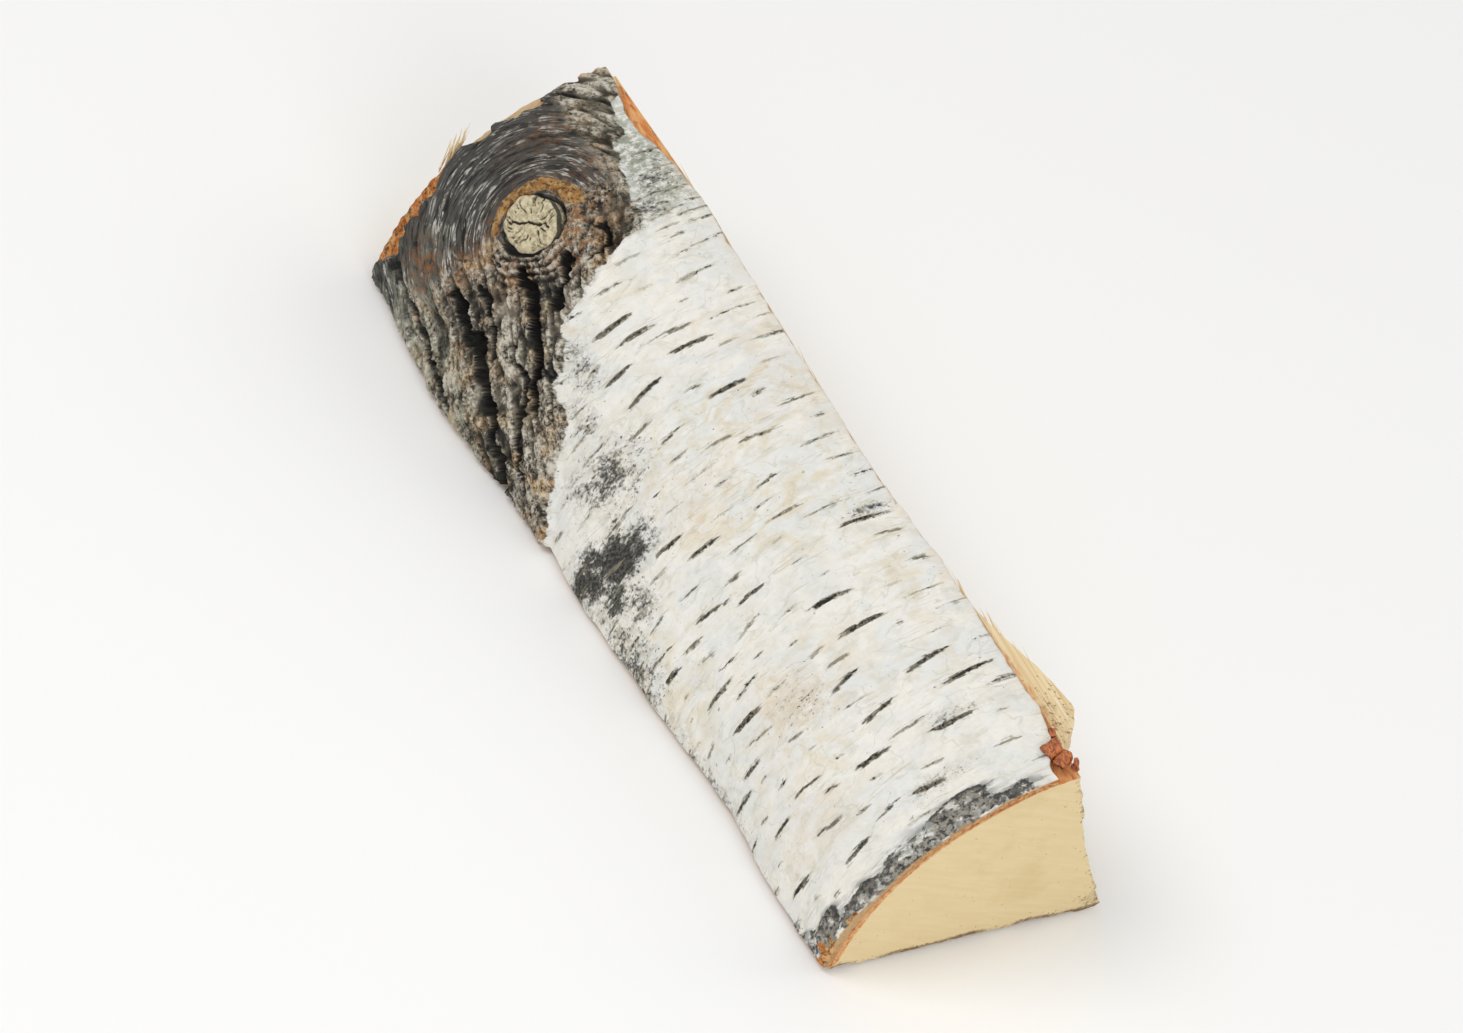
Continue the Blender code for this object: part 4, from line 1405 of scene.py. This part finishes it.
        distance = np.hypot(flow[..., 1], flow[..., 2])
        turn = np.arctan2(flow[..., 1], flow[..., 2])
        facing = np.cos(turn - math.radians(73))
        wider = np.cos(turn - math.radians(10))
        crescent = bump((distance - 0.0106 - 0.0010 * wider) / (0.00225 + 0.00085 * wider), 1.0)
        crescent = crescent * smooth_step(-0.15, 0.30, facing)
        beside = 0.30 * bump(rough - 0.35, 0.3) * (rough < 0.5)
        fade = smooth_step(0.95, 1.0, u)
        foot_gap = from_clean + 1.4 * self.flake_edge_wear.at(arc, x) - 0.0024 * smooth_step(0.24, 0.06, u)
        broken_foot = smooth_step(0.0006, -0.0006, foot_gap) * (u < 0.24)
        silver = rough * self.patch_mask(self.silver_patches, u, x)
        cream = self.patch_mask(self.cream_patches, u, x) + silver
        strokes = {name: 0.5 + dashes[name] / (2 * self.dashes.reach) for name in ("offset", "width", "core")}
        return {
            **strokes,
            "thickness": np.clip(thickness, self.thinnest, self.thickest),
            "rough": rough,
            # Painted light on the lips' crests, painted shade between them and in the groove round the stub.
            "light": light + 0.20 * lips - 0.50 * (1 - smooth_step(0.0084, 0.0092, distance)),
            "rust": self.patch_mask(self.rust_patches, u, x) + 0.22 * bump(distance - 0.0125, 0.004),
            "strength": dashes["strength"],
            "grey": np.maximum(self.patch_mask(self.grey_patches, u, x), beside),
            "cream": np.maximum(cream, flaked * smooth_step(0.42, 0.50, u)),
            "orange": np.maximum(np.maximum(0.82 * crescent, flaked), broken_foot),
            "flaked": flaked,
            "lichen": np.maximum(self.patch_mask(self.lichen_patches, u, x), 0.8 * lump),
            "peach": np.maximum(self.patch_mask(self.peach_patches, u, x), 0.6 * fade),
            "scorch": scorched * follow(self.burnt, u) * (1 - 0.3 * lump),
            "arch": self.rough.arch(flow),
        }

    def station_places(self) -> np.ndarray:
        """The stations' places along the log, closer together in the rough bark."""
        start, end = -self.form.length / 2, self.form.length / 2
        border = start + self.rough_length
        fine = np.linspace(start, border, self.rough_stations + 1)
        coarse = np.linspace(border, end, self.white_stations + 1)
        return np.concatenate([fine, coarse[1:]])

    def bent_stations(self, columns: int) -> np.ndarray:
        """The stations as slightly wavy lines round the log, straight at both ends."""
        form = self.form
        x = self.station_places()[:, None]
        across = np.linspace(0, 0.093, columns)[None, :]
        still = smooth_step(0, 0.012, form.from_knot_end(x)) * smooth_step(0, 0.012, form.from_clean_end(x))
        return x + self.station_bend.at(across, x) * still

    def build(self) -> bpy.types.Object:
        """The bark as one closed piece."""
        outer = self.arc_steps + 1
        x = self.bent_stations(outer)
        low, high, low_outer, high_outer = self.edges(self.station_places())
        u = low_outer[:, None] + (high_outer - low_outer)[:, None] * np.linspace(0, 1, outer)[None, :]
        face = self.outer_face(u, x)

        steps, inner = self.edge_steps, self.inner_steps
        falling = np.linspace(1, 0, steps + 2)[1:-1][None, :]
        rising = falling[:, ::-1]
        across = np.linspace(0, 1, inner + 1)[None, :]
        upper_u = high[:, None] + (high_outer - high)[:, None] * falling
        inner_u = high[:, None] + (low - high)[:, None] * across
        lower_u = low[:, None] + (low_outer - low)[:, None] * rising
        all_u = np.concatenate([u, upper_u, inner_u, lower_u, u[:, :1]], axis=1)

        def around(values: np.ndarray, above: object, inside: np.ndarray, below: object) -> np.ndarray:
            """The outer face's values carried over the upper edge, the inner side and the lower edge."""
            first, last = values[:, :1], values[:, -1:]
            ones = np.ones((len(values), steps))
            return np.concatenate([values, last * above * ones, inside, first * below * ones, first], axis=1)

        blank = np.zeros((len(x), inner + 1))
        all_x = around(x, 1, x[:, -1:] + (x[:, :1] - x[:, -1:]) * across, 1)
        thick = around(face["thickness"], falling, blank, rising)
        radius = self.form.wood_radius(all_u, all_x) + self.form.bark_gap + thick
        places = self.form.place(all_u, all_x, radius)
        spread = {name: around(values, 1, blank, 1) for name, values in face.items()}
        depth = around(x * 0 + 1, falling, blank, rising)
        depth[0] = np.minimum(depth[0], 0.5)
        depth[-1] = np.minimum(depth[-1], 0.5 + 0.38 * smooth_step(0.12, 0.30, all_u[-1]))
        chip = np.clip(self.chips(all_x) / 0.012, 0, 1) * (all_u > 0.85) + 0.7 * (all_u < 0.10)
        chip = np.maximum(chip, spread["flaked"])
        chip[-1] = np.maximum(chip[-1], 0.25 + 0.50 * smooth_step(0.25, 0.60, all_u[-1]))
        marks = {
            "flow": self.rough.flow(all_u, all_x),
            # Second part: the rough bark's lightness, with its painted light and shade.
            "look": colour_marks(spread["rough"], spread["light"], spread["rust"], 1 - depth),
            "dashes": colour_marks(spread["offset"], spread["width"], spread["core"], spread["strength"]),
            "marks": colour_marks(spread["grey"], spread["cream"], spread["lichen"], spread["peach"]),
            "tints": colour_marks(spread["orange"], spread["scorch"], spread["arch"], chip),
        }
        return smooth_piece(tube_mesh("birch_bark", places, marks), self.sharp_from)


@dataclass(frozen=True)
class Wood:
    """The wedge of wood: its round under the bark, two torn split faces, and two sawn ends."""

    form: LogForm
    stations: int = 300
    arc_steps: int = 56
    upper_steps: int = 104
    edge_steps: int = 4
    lower_steps: int = 64
    cap_rings: int = 16
    pith_edge: float = 0.0022
    lip_proud: float = 0.0088
    lip_start: float = 0.008
    lip_peak: float = 0.0195
    lip_run_out: float = 0.062
    lip_depth: float = 0.034
    lip_wear: Ripple = Ripple(0.16, 1.0, 0.0042, 63.0)
    hollow: Swelling = Swelling(-0.0014, 0.034, 0.020)
    broad_fibres: Ripple = Ripple(0.0012, 0.016, 0.140, 11.0)
    fine_fibres: Ripple = Ripple(0.0006, 0.0055, 0.060, 15.5)
    threads: Ripple = Ripple(0.00018, 0.0019, 0.034, 41.5)
    hairs: Ripple = Ripple(0.00009, 0.0009, 0.012, 43.5)
    tears: Ripple = Ripple(1.0, 0.0075, 0.055, 45.5)
    tear_depth: float = 0.0004
    rest_half_length: float = 0.060
    rest_near_pith: float = 0.020
    rest_far_from_pith: float = 0.068
    rest_blend: float = 0.012
    off_rest: float = 0.0010
    lowest_fibre: float = -0.0008
    lower_seed: float = 10.0
    saw_marks: Ripple = Ripple(0.00012, 0.0018, 0.020, 61.5)
    lower_edge_dark: Ripple = Ripple(0.80, 0.013, 1.0, 19.0)
    side_nicks: Ripple = Ripple(1.10, 0.0042, 1.0, 29.0)
    bast: tuple = (Swelling(1.0, 0.018, 0.016), Swelling(1.0, 0.250, 0.008))
    sharp_from: float = 55.0

    def torn(self, across: np.ndarray, x: np.ndarray) -> np.ndarray:
        """Height of the broad torn fibres, as in the solid."""
        return self.broad_fibres.at(across, x) + self.fine_fibres.at(across, x)

    def detail(self, across: np.ndarray, x: np.ndarray) -> np.ndarray:
        """Height of the fine fibres and of the steps where bundles tore off."""
        tear = self.tears.at(across, x)
        steps = self.tear_depth * (smooth_step(0.10, 0.14, tear) - smooth_step(-0.22, -0.18, -tear) * 0.5)
        return self.threads.at(across, x) + self.hairs.at(across, x) + steps - 0.5 * self.tear_depth

    def upper_height(self, radius: np.ndarray, x: np.ndarray) -> np.ndarray:
        """How far the upper split face stands out, without its fine fibres."""
        form = self.form
        distance = form.from_clean_end(x)
        rise = smooth_step(self.lip_start, self.lip_peak, distance)
        rise = rise * (1 - smooth_step(self.lip_peak, self.lip_run_out, distance))
        lip = self.lip_proud * rise * (1 + self.lip_wear.at(0, x))
        lip = lip * smooth_step(form.upper_face - self.lip_depth, form.upper_face, radius)
        at_end = 1 - 0.75 * smooth_step(0.006, 0.0, distance)
        beside = smooth_step(form.upper_face - 0.012, form.upper_face - 0.004, radius)
        return lip + self.hollow.at(radius) + self.torn(radius, x) * (1 - 0.7 * beside) * at_end

    def upper_face(self, share: np.ndarray, x: np.ndarray) -> tuple[np.ndarray, np.ndarray]:
        """The upper split face, share of the way out to the bark, and its fine relief."""
        form = self.form
        edge = form.wood_radius(np.ones(x.shape), x)
        radius = self.pith_edge + (edge - self.pith_edge) * share
        height = self.upper_height(radius, x)
        angle = form.opening(x)
        drop = height**2 / (2 * edge) + edge - form.wood_radius(1 + height / (edge * angle), x)
        inside = smooth_step(1.0, 0.97, share) * smooth_step(0.0, 0.02, share)
        fine = self.detail(radius, x) * inside
        outward = np.stack([np.zeros(x.shape), np.sin(angle), np.cos(angle)], axis=-1)
        places = form.place(np.ones(x.shape), x, radius - drop * share)
        return places + outward * (height + fine)[..., None], fine

    def lower_face(self, share: np.ndarray, x: np.ndarray) -> tuple[np.ndarray, np.ndarray]:
        """The lower split face, share of the way out to the bark, and its fine relief."""
        form = self.form
        edge = form.wood_radius(np.zeros(x.shape), x)
        radius = self.pith_edge + (edge - self.pith_edge) * share
        recess = self.lower_recess(radius, x)
        fine = np.clip(self.detail(radius + 0.4, x) + 0.0004, 0, 1) * smooth_step(0.0, 0.0006, recess)
        places = form.place(np.zeros(x.shape), x, radius)
        places[..., 2] += recess + fine
        return places, -fine

    def lower_recess(self, radius: np.ndarray, x: np.ndarray) -> np.ndarray:
        """How far the lower split face lies above the floor. It is nothing on the flat under the weight."""
        blend = self.rest_blend
        off_side = smooth_step(0, blend, self.rest_near_pith - radius)
        off_side = off_side + smooth_step(0, blend, radius - self.rest_far_from_pith)
        off_end = smooth_step(0, 2 * blend, np.abs(x) - self.rest_half_length)
        fibres = np.maximum(self.lowest_fibre, self.torn(radius + self.lower_seed, x))
        return np.minimum(1.0, off_side + off_end) * (self.off_rest + fibres)

    def section(self, x: np.ndarray) -> tuple[np.ndarray, np.ndarray, np.ndarray]:
        """The wood's whole outline at each station.

        Args:
            x: The stations' places.

        Returns:
            The points, their fine relief, and their u on the round, which is -1 elsewhere.
        """
        form = self.form
        share = np.linspace(0, 1, self.arc_steps + 1)[:-1]
        u = np.broadcast_to(1 - (1 - share) ** 1.35, (len(x), self.arc_steps))
        along = np.broadcast_to(x[:, None], u.shape)
        recess = self.lower_recess(form.wood_radius(np.zeros(u.shape), along), along)
        arc = form.place(u, along, form.wood_radius(u, along))
        arc[..., 2] += recess * (1 - smooth_step(0, 0.1, u))

        inwards, outwards = np.linspace(1, 0, self.upper_steps + 1), np.linspace(0, 1, self.lower_steps + 1)
        upper, upper_fine = self.upper_face(*np.broadcast_arrays(inwards, x[:, None]))
        lower, lower_fine = self.lower_face(*np.broadcast_arrays(outwards, x[:, None]))
        mixing = np.linspace(0, 1, self.edge_steps + 2)[1:-1][None, :, None]
        blunt = upper[:, -1:] + (lower[:, :1] - upper[:, -1:]) * mixing
        blank = np.zeros((len(x), self.edge_steps))
        places = np.concatenate([arc, upper, blunt, lower], axis=1)
        fine = np.concatenate([np.zeros(u.shape), upper_fine, blank, lower_fine], axis=1)
        outside = np.full((len(x), places.shape[1] - self.arc_steps), -1.0)
        return places, fine, np.concatenate([u, outside], axis=1)

    def dark_marks(self, grid: np.ndarray, sawn: np.ndarray) -> np.ndarray:
        """Where the clean end is dark: along its lower edge and at the pith, and on the lip's crest."""
        form = self.form
        across = form.pith_y - grid[..., 1]
        height = grid[..., 2] - self.lower_recess(across, np.full(across.shape, form.length / 2))
        at_end = (grid[..., 0] > 0.49 * form.length) * sawn
        # Darker along the lower edge of the clean end.
        low = smooth_step(0.0022, 0.0008, height) * (0.62 + self.lower_edge_dark.at(across, 0))
        pith = 0.46 * bump(np.hypot(across - 0.004, height - 0.004), 0.007)
        slant = across * math.sin(form.split_angle) - height * math.cos(form.split_angle)
        side = smooth_step(0.0045, 0.0, slant) * np.maximum(0.42, 0.30 + self.side_nicks.at(height, 0))
        distance = form.from_clean_end(grid[..., 0])
        crest = bump(distance - self.lip_peak, 0.012) * smooth_step(0.055, 0.068, np.hypot(across, height))
        return at_end * np.maximum(np.maximum(low, pith), side) + (1 - sawn) * 0.46 * crest

    def build(self) -> bpy.types.Object:
        """The wood as one closed piece, with rings of points over both sawn ends."""
        form = self.form
        x = np.linspace(-form.length / 2, form.length / 2, self.stations + 1)
        places, fine, u = self.section(x)
        places[:, -1], fine[:, -1] = places[:, 0], fine[:, 0]
        hub = np.array([0.0, form.pith_y - 0.045, 0.022])
        shrink = 1 - (1 - np.linspace(0, 0.985, self.cap_rings)) ** 1.6

        def cap(end: int, order: int) -> np.ndarray:
            """The rings over one end, from its middle outwards or the other way."""
            rings = places[end] + (hub - places[end])[None] * (1 - shrink)[:, None, None]
            rings[..., 0] = x[end]
            across = rings[..., 1] * 0.9 + rings[..., 2] * 0.4
            marks = self.saw_marks.at(across, rings[..., 2] - rings[..., 1])
            edge = smooth_step(1.0, 0.97, shrink)[:, None]
            rings[..., 0] += marks * edge * (1 if end else -1)
            return rings[::order]

        grid = np.concatenate([cap(0, 1), places, cap(-1, -1)], axis=0)
        rings = self.cap_rings
        pad = ((rings, rings), (0, 0))
        fine, u = np.pad(fine, pad), np.pad(u, pad, mode="edge")
        sawn = np.zeros(u.shape)
        sawn[:rings] = sawn[-rings:] = 1.0
        distance = form.from_knot_end(grid[..., 0])
        chip = sum(swelling.at(distance) for swelling in self.bast)
        seam = 0.75 * smooth_step(0.990, 0.998, u)
        bast = np.where((sawn > 0) | (u < 0), 0.0, np.minimum(1.0, np.maximum(1.3 * chip, seam)))
        round_edge = grid[-rings - 1]
        inward = np.linalg.norm(grid[-rings:] - round_edge, axis=-1)
        band = 0.0006 + 0.0012 * smooth_step(0.62, 0.15, u[-1])
        bast[-rings:] = np.where(u[-1] < 0, 0.0, 1 - smooth_step(0.5 * band, 1.5 * band, inward))
        # The fine relief, which the split faces' colour also follows as painted light and shade.
        relief = 0.5 + fine / 0.0016
        marks = {"look": colour_marks(sawn, bast, relief, self.dark_marks(grid, sawn))}
        return smooth_piece(tube_mesh("birch_wood", grid, marks), self.sharp_from)


@dataclass(frozen=True)
class BranchStub:
    """The stub of the dead branch, standing in the bark's collar."""

    form: LogForm
    radius: float = 0.0082
    proud: float = 0.0033
    root: float = 0.0100
    face_tilt: float = 0.14
    lean: float = 0.02
    edge: float = 0.0012
    oval: float = 0.04
    oval_turn: float = 0.7
    lobes: float = 0.025
    sides: int = 150
    face_rings: int = 48
    side_rings: int = 8
    crack_turn: float = math.radians(38)
    cracks: int = 54
    crack_slope: float = 1200.0
    crack_bends: tuple = (Ripple(0.0016, 0.0030, 1.0, 4.4), Ripple(0.0005, 0.0009, 1.0, 5.4))
    wear: tuple = (Ripple(0.00045, 0.0030, 0.0030, 2.5), Ripple(0.00025, 0.0010, 0.0010, 6.5))
    seed: int = 5
    sharp_from: float = 60.0

    def pose(self) -> Matrix:
        """The branch's own frame: Z runs out along it, from the smooth bark's level."""
        form = self.form
        above = form.bark + form.bark_gap
        distance = form.knot_x + form.length / 2
        foot = form.point(distance, form.knot_u, above)
        straight = form.outward(distance, form.knot_u)
        outward = (straight + Vector((-self.lean, 0, 0))).normalized()
        along = Vector((1, 0, 0)) - outward * outward.x
        side = outward.cross(along).normalized()
        turned = Matrix((along.normalized(), side, outward)).transposed().to_4x4()
        return Matrix.Translation(foot) @ turned

    def crack_field(self, x: np.ndarray, y: np.ndarray) -> np.ndarray:
        """Over a half in a crack: one across the face, and many short ones that run out from the middle."""
        rng = random.Random(self.seed)
        turn, distance = np.arctan2(y, x), np.hypot(x, y) / self.radius
        along = x * math.cos(self.crack_turn) + y * math.sin(self.crack_turn)
        across = x * math.sin(self.crack_turn) - y * math.cos(self.crack_turn)
        across = across + sum(bend.at(along, 0) for bend in self.crack_bends)
        field = 0.5 + (0.00032 - np.abs(across)) * self.crack_slope - 1.2 * smooth_step(0.66, 0.90, distance)
        for _ in range(self.cracks):
            angle, inner = rng.uniform(0, math.tau), rng.uniform(0.25, 0.75)
            outer, width = inner + rng.uniform(0.12, 0.35), rng.uniform(0.00006, 0.00020)
            bend = 0.12 * np.sin(7 * distance + angle)
            side = np.abs(np.angle(np.exp(1j * (turn - angle - bend)))) * distance * self.radius
            within = smooth_step(inner - 0.05, inner + 0.05, distance)
            within = within * (1 - smooth_step(outer - 0.05, outer + 0.05, distance))
            field = np.maximum(field, (0.5 + (width - side) * self.crack_slope) * within)
        return np.clip(field, 0, 1)

    def build(self) -> bpy.types.Object:
        """The stub as one closed piece."""
        turn = np.linspace(0, math.tau, self.sides + 1)[None, :]
        uneven = 1 + self.oval * np.sin(2 * turn + self.oval_turn) + self.lobes * np.sin(5 * turn)
        uneven = uneven + 0.018 * np.sin(11 * turn + 1.0)
        face = np.linspace(0, 1, self.face_rings + 1)
        side = np.linspace(0, 1, self.side_rings + 1)[1:]
        share = np.concatenate([face, np.full(side.shape, 1.0)])
        drop = np.concatenate([np.zeros(face.shape), side]) * (self.root + self.proud - self.edge)
        past = np.clip((share * self.radius - (self.radius - self.edge)) / self.edge, 0, 1)
        rounding = np.sqrt(1 - past**2)[:, None]
        reach = share[:, None] * self.radius * uneven
        x, y = reach * np.cos(turn), reach * np.sin(turn)
        on_top = (drop == 0)[:, None]
        cracks = self.crack_field(x, y) * on_top
        fade = 1 - (drop / drop.max())[:, None]
        z = self.proud - self.edge * (1 - rounding) - drop[:, None] - self.face_tilt * x * fade
        wear = sum(ripple.at(x, y) for ripple in self.wear)
        inside = on_top * smooth_step(1.0, 0.9, share)[:, None]
        z = z + inside * (wear - 0.0009 * smooth_step(0.35, 0.75, cracks))
        flow = np.stack([x, y, z], axis=-1)
        pose = np.array(self.pose())
        places = flow @ pose[:3, :3].T + pose[:3, 3]
        rim = np.where(on_top, smooth_step(0.93, 1.0, share)[:, None], 0.45) * np.ones(x.shape)
        marks = {"flow": flow, "look": colour_marks(cracks, rim, x * 0, x * 0)}
        return smooth_piece(tube_mesh("branch_stub", places, marks), self.sharp_from)


@dataclass(frozen=True)
class Splinter:
    """A thread of wood that stands off an edge: its foot, the way it points, its length and its width."""

    foot: Vector
    points: Vector
    length: float
    width: float


@dataclass(frozen=True)
class Splinters:
    """The threads of wood that the split left along its edges."""

    form: LogForm
    wood: Wood
    seed: int = 11
    lip_count: int = 34
    edge_count: int = 26
    end_count: int = 12
    rim_count: int = 22
    taper: float = 0.15
    out_share: float = 0.42
    look: tuple = (0.0, 0.0, 0.62, 0.0)
    sharp_from: float = 60.0

    def along_upper_edge(self, rng: random.Random, low: float, high: float, count: int) -> list[Splinter]:
        """Threads beside the bark along the upper split face, between two distances from the knot end."""
        found = []
        for _ in range(count):
            distance = rng.uniform(low, high)
            x = np.array([distance - self.form.length / 2])
            share = np.array([rng.uniform(0.93, 0.998)])
            foot, _ = self.wood.upper_face(share, x)
            way = Vector((rng.choice((-1, 1)), rng.uniform(-0.12, 0.12), rng.uniform(0.0, 0.16)))
            start = Vector(foot[0].tolist())
            found.append(Splinter(start, way, rng.uniform(0.004, 0.013), rng.uniform(0.00010, 0.00032)))
        return found

    def at_ends(self, rng: random.Random) -> list[Splinter]:
        """Short threads at the foot of the clean end, and a few at the knot end's broken bark."""
        found = []
        for _ in range(self.end_count):
            x = np.array([self.form.length / 2 - rng.uniform(0.0004, 0.002)])
            foot, _ = self.wood.lower_face(np.array([rng.uniform(0.25, 0.99)]), x)
            way = Vector((rng.uniform(0.2, 1.0), rng.uniform(-0.8, 0.8), rng.uniform(-0.05, 0.10)))
            start = Vector(foot[0].tolist()) + Vector((0, 0, 0.0004))
            found.append(Splinter(start, way, rng.uniform(0.0012, 0.0032), rng.uniform(0.00008, 0.00018)))
        for _ in range(self.rim_count):
            start = self.form.point(-0.0001, rng.uniform(0.39, 0.46), rng.uniform(0.0010, 0.0045))
            way = Vector((-0.20, 0.24, 0.95)) + Vector([rng.uniform(-0.20, 0.20) for _ in range(3)])
            way.x = min(way.x, -0.06)
            found.append(Splinter(start, way, rng.uniform(0.005, 0.013), rng.uniform(0.00020, 0.00042)))
        return found

    def build(self) -> bpy.types.Object:
        """All the threads as one piece."""
        rng = random.Random(self.seed)
        length = self.form.length
        threads = self.along_upper_edge(rng, length - 0.060, length - 0.026, self.lip_count)
        threads += self.along_upper_edge(rng, 0.036, length - 0.060, self.edge_count)
        threads += self.at_ends(rng)
        bm = bmesh.new()
        for thread in threads:
            way = thread.points.normalized()
            pose = Matrix.Translation(thread.foot) @ way.to_track_quat("Z", "X").to_matrix().to_4x4()
            made = bmesh.ops.create_cone(
                bm,
                cap_ends=True,
                segments=5,
                radius1=thread.width,
                radius2=thread.width * self.taper,
                depth=thread.length,
                matrix=pose @ Matrix.Translation((0, 0, thread.length * self.out_share)),
            )
            edges = {edge for vertex in made["verts"] for edge in vertex.link_edges}
            bmesh.ops.subdivide_edges(bm, edges=list(edges), cuts=2)
        bmesh.ops.recalc_face_normals(bm, faces=bm.faces)
        mesh = mesh_of(bm, "wood_splinters")
        values = np.tile(self.look, len(mesh.vertices))
        mesh.attributes.new("look", "FLOAT_COLOR", "POINT").data.foreach_set("color", values)
        return smooth_piece(mesh, self.sharp_from)


@dataclass(frozen=True)
class Curl:
    """A strip of inner bark that has rolled up: place, width, turns, radius, and the way it faces."""

    distance: float
    u: float
    width: float
    turns: float
    radius: float
    heading: float


@dataclass(frozen=True)
class Curls:
    """The curls of inner bark at the upper edge, near the clean end."""

    form: LogForm
    curls: tuple = (
        Curl(0.2372, 0.988, 0.0024, 1.30, 0.0010, 0.9),
        Curl(0.2420, 0.957, 0.0050, 1.40, 0.0022, 0.1),
        Curl(0.2455, 0.968, 0.0044, 0.95, 0.0019, 0.5),
        Curl(0.2475, 0.985, 0.0036, 0.40, 0.0022, 1.2),
    )
    steps: int = 30
    across: int = 8
    thickness: float = 0.0004
    crumple: float = 0.0005
    crumple_scale: float = 650.0
    seed: int = 7
    above: float = 0.0012
    narrowing: float = 0.30
    sharp_from: float = 60.0

    def build(self) -> bpy.types.Object:
        """All the curls as one piece."""
        noise.seed_set(self.seed)
        bm = bmesh.new()
        for curl in self.curls:
            strip = bmesh.ops.create_grid(bm, x_segments=self.steps, y_segments=self.across, size=0.5)
            out = self.form.outward(curl.distance, curl.u)
            foot = self.form.point(curl.distance, curl.u, self.above)
            turn = Matrix.Rotation(curl.heading, 4, "Z")
            pose = Matrix.Translation(foot) @ out.to_track_quat("Z", "Y").to_matrix().to_4x4() @ turn
            for vertex in strip["verts"]:
                run = vertex.co.x + 0.5
                roll = run * curl.turns * math.tau
                radius = curl.radius * (1 - self.narrowing * run)
                side = vertex.co.y * curl.width * (0.30 + 0.70 * math.sin(math.pi * (0.06 + 0.86 * run)))
                place = Vector((radius * math.sin(roll), side, radius * (1 - math.cos(roll))))
                crumple = noise.noise_vector(place * self.crumple_scale + Vector((curl.distance * 900, 0, 0)))
                vertex.co = pose @ (place + crumple * self.crumple)
        piece = smooth_piece(mesh_of(bm, "bark_curls"), self.sharp_from)
        wall = piece.modifiers.new("wall", "SOLIDIFY")
        wall.thickness = self.thickness
        wall.offset = 0
        return piece


@dataclass(frozen=True)
class Lamp:
    """A soft round light: its name, its place, how wide it is, and its power."""

    name: str
    place: tuple[float, float, float]
    size: float
    power: float


@dataclass(frozen=True)
class Studio:
    """The floor, the soft lights and the camera."""

    floor_size: float = 8.0
    floor_colour: Colour = (0.93, 0.93, 0.925, 1.0)
    floor_roughness: float = 0.9
    lamps: tuple = (
        Lamp("key", (-0.35, -0.95, 1.45), 0.9, 10.0),
        Lamp("front", (1.3, -0.45, 0.85), 1.1, 7.0),
        Lamp("rim", (0.1, 1.2, 1.1), 1.0, 3.5),
    )
    lit_point: tuple[float, float, float] = (0.0, 0.0, 0.03)
    world_colour: Colour = (1.0, 0.995, 0.985, 1.0)
    world_strength: float = 0.55
    camera_place: tuple[float, float, float] = (0.8279, -0.7972, 1.1155)
    camera_right: tuple[float, float, float] = (0.44955, 0.84937, 0.27688)
    camera_up: tuple[float, float, float] = (-0.72377, 0.16496, 0.67034)
    photo_focal_pixels: float = 3874.0
    photo_width: float = 1463.0
    sensor: float = 36.0
    closer: float = 1.58

    def floor(self) -> None:
        """A plain pale floor."""
        bm = bmesh.new()
        bmesh.ops.create_grid(bm, x_segments=1, y_segments=1, size=self.floor_size / 2)
        piece = linked(mesh_of(bm, "floor"))
        paint = Paint("floor", self.floor_roughness)
        paint.shader.inputs["Base Color"].default_value = self.floor_colour
        piece.data.materials.append(paint.material)

    def light(self, lamp: Lamp) -> None:
        """One soft area light that faces the log."""
        data = bpy.data.lights.new(lamp.name, "AREA")
        data.shape = "DISK"
        data.size = lamp.size
        data.energy = lamp.power
        made = linked(data)
        made.location = lamp.place
        made.rotation_mode = "QUATERNION"
        towards = Vector(self.lit_point) - Vector(lamp.place)
        made.rotation_quaternion = towards.to_track_quat("-Z", "Y")

    def camera(self) -> None:
        """The camera at the photograph's viewing angle, closer in on the log."""
        lens = bpy.data.cameras.new("camera")
        lens.sensor_width = self.sensor
        lens.lens = self.photo_focal_pixels * self.sensor / self.photo_width * self.closer
        made = linked(lens)
        right, up = Vector(self.camera_right).normalized(), Vector(self.camera_up).normalized()
        back = right.cross(up).normalized()
        up = back.cross(right).normalized()
        turned = Matrix((right, up, back)).transposed().to_4x4()
        made.matrix_world = Matrix.Translation(Vector(self.camera_place)) @ turned
        bpy.context.scene.camera = made

    def build(self) -> None:
        """Everything that isn't part of the log."""
        self.floor()
        for lamp in self.lamps:
            self.light(lamp)
        world = bpy.data.worlds.new("studio")
        world.use_nodes = True
        background = world.node_tree.nodes["Background"]
        background.inputs["Color"].default_value = self.world_colour
        background.inputs["Strength"].default_value = self.world_strength
        bpy.context.scene.world = world
        bpy.context.scene.view_settings.view_transform = "Standard"
        self.camera()


def dress(piece: bpy.types.Object, material: bpy.types.Material, node: str) -> None:
    """Gives a piece its material and its body, and hides the solid it stands for."""
    piece.data.materials.append(material)
    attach(piece, BODY)
    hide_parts(node)
    LOG.info("%s: %d faces", piece.name, len(piece.data.polygons))


def main() -> None:
    """Builds the log's pieces, the studio and the camera."""
    logging.basicConfig(level=logging.INFO)
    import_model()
    form = LogForm()
    shared = SharedEffects()

    wood = Wood(form)
    wood_material = WoodFinish().material(shared)
    dress(wood.build(), wood_material, "wood")
    dress(BranchStub(form).build(), StubFinish().material(shared), "wood")
    dress(Splinters(form, wood).build(), wood_material, "wood")
    dress(Bark(form, RoughBark(form)).build(), BarkFinish().material(shared), "bark")
    dress(Curls(form).build(), CurlFinish().material(shared), "bark")
    Studio().build()


if __name__ == "__main__":
    main()
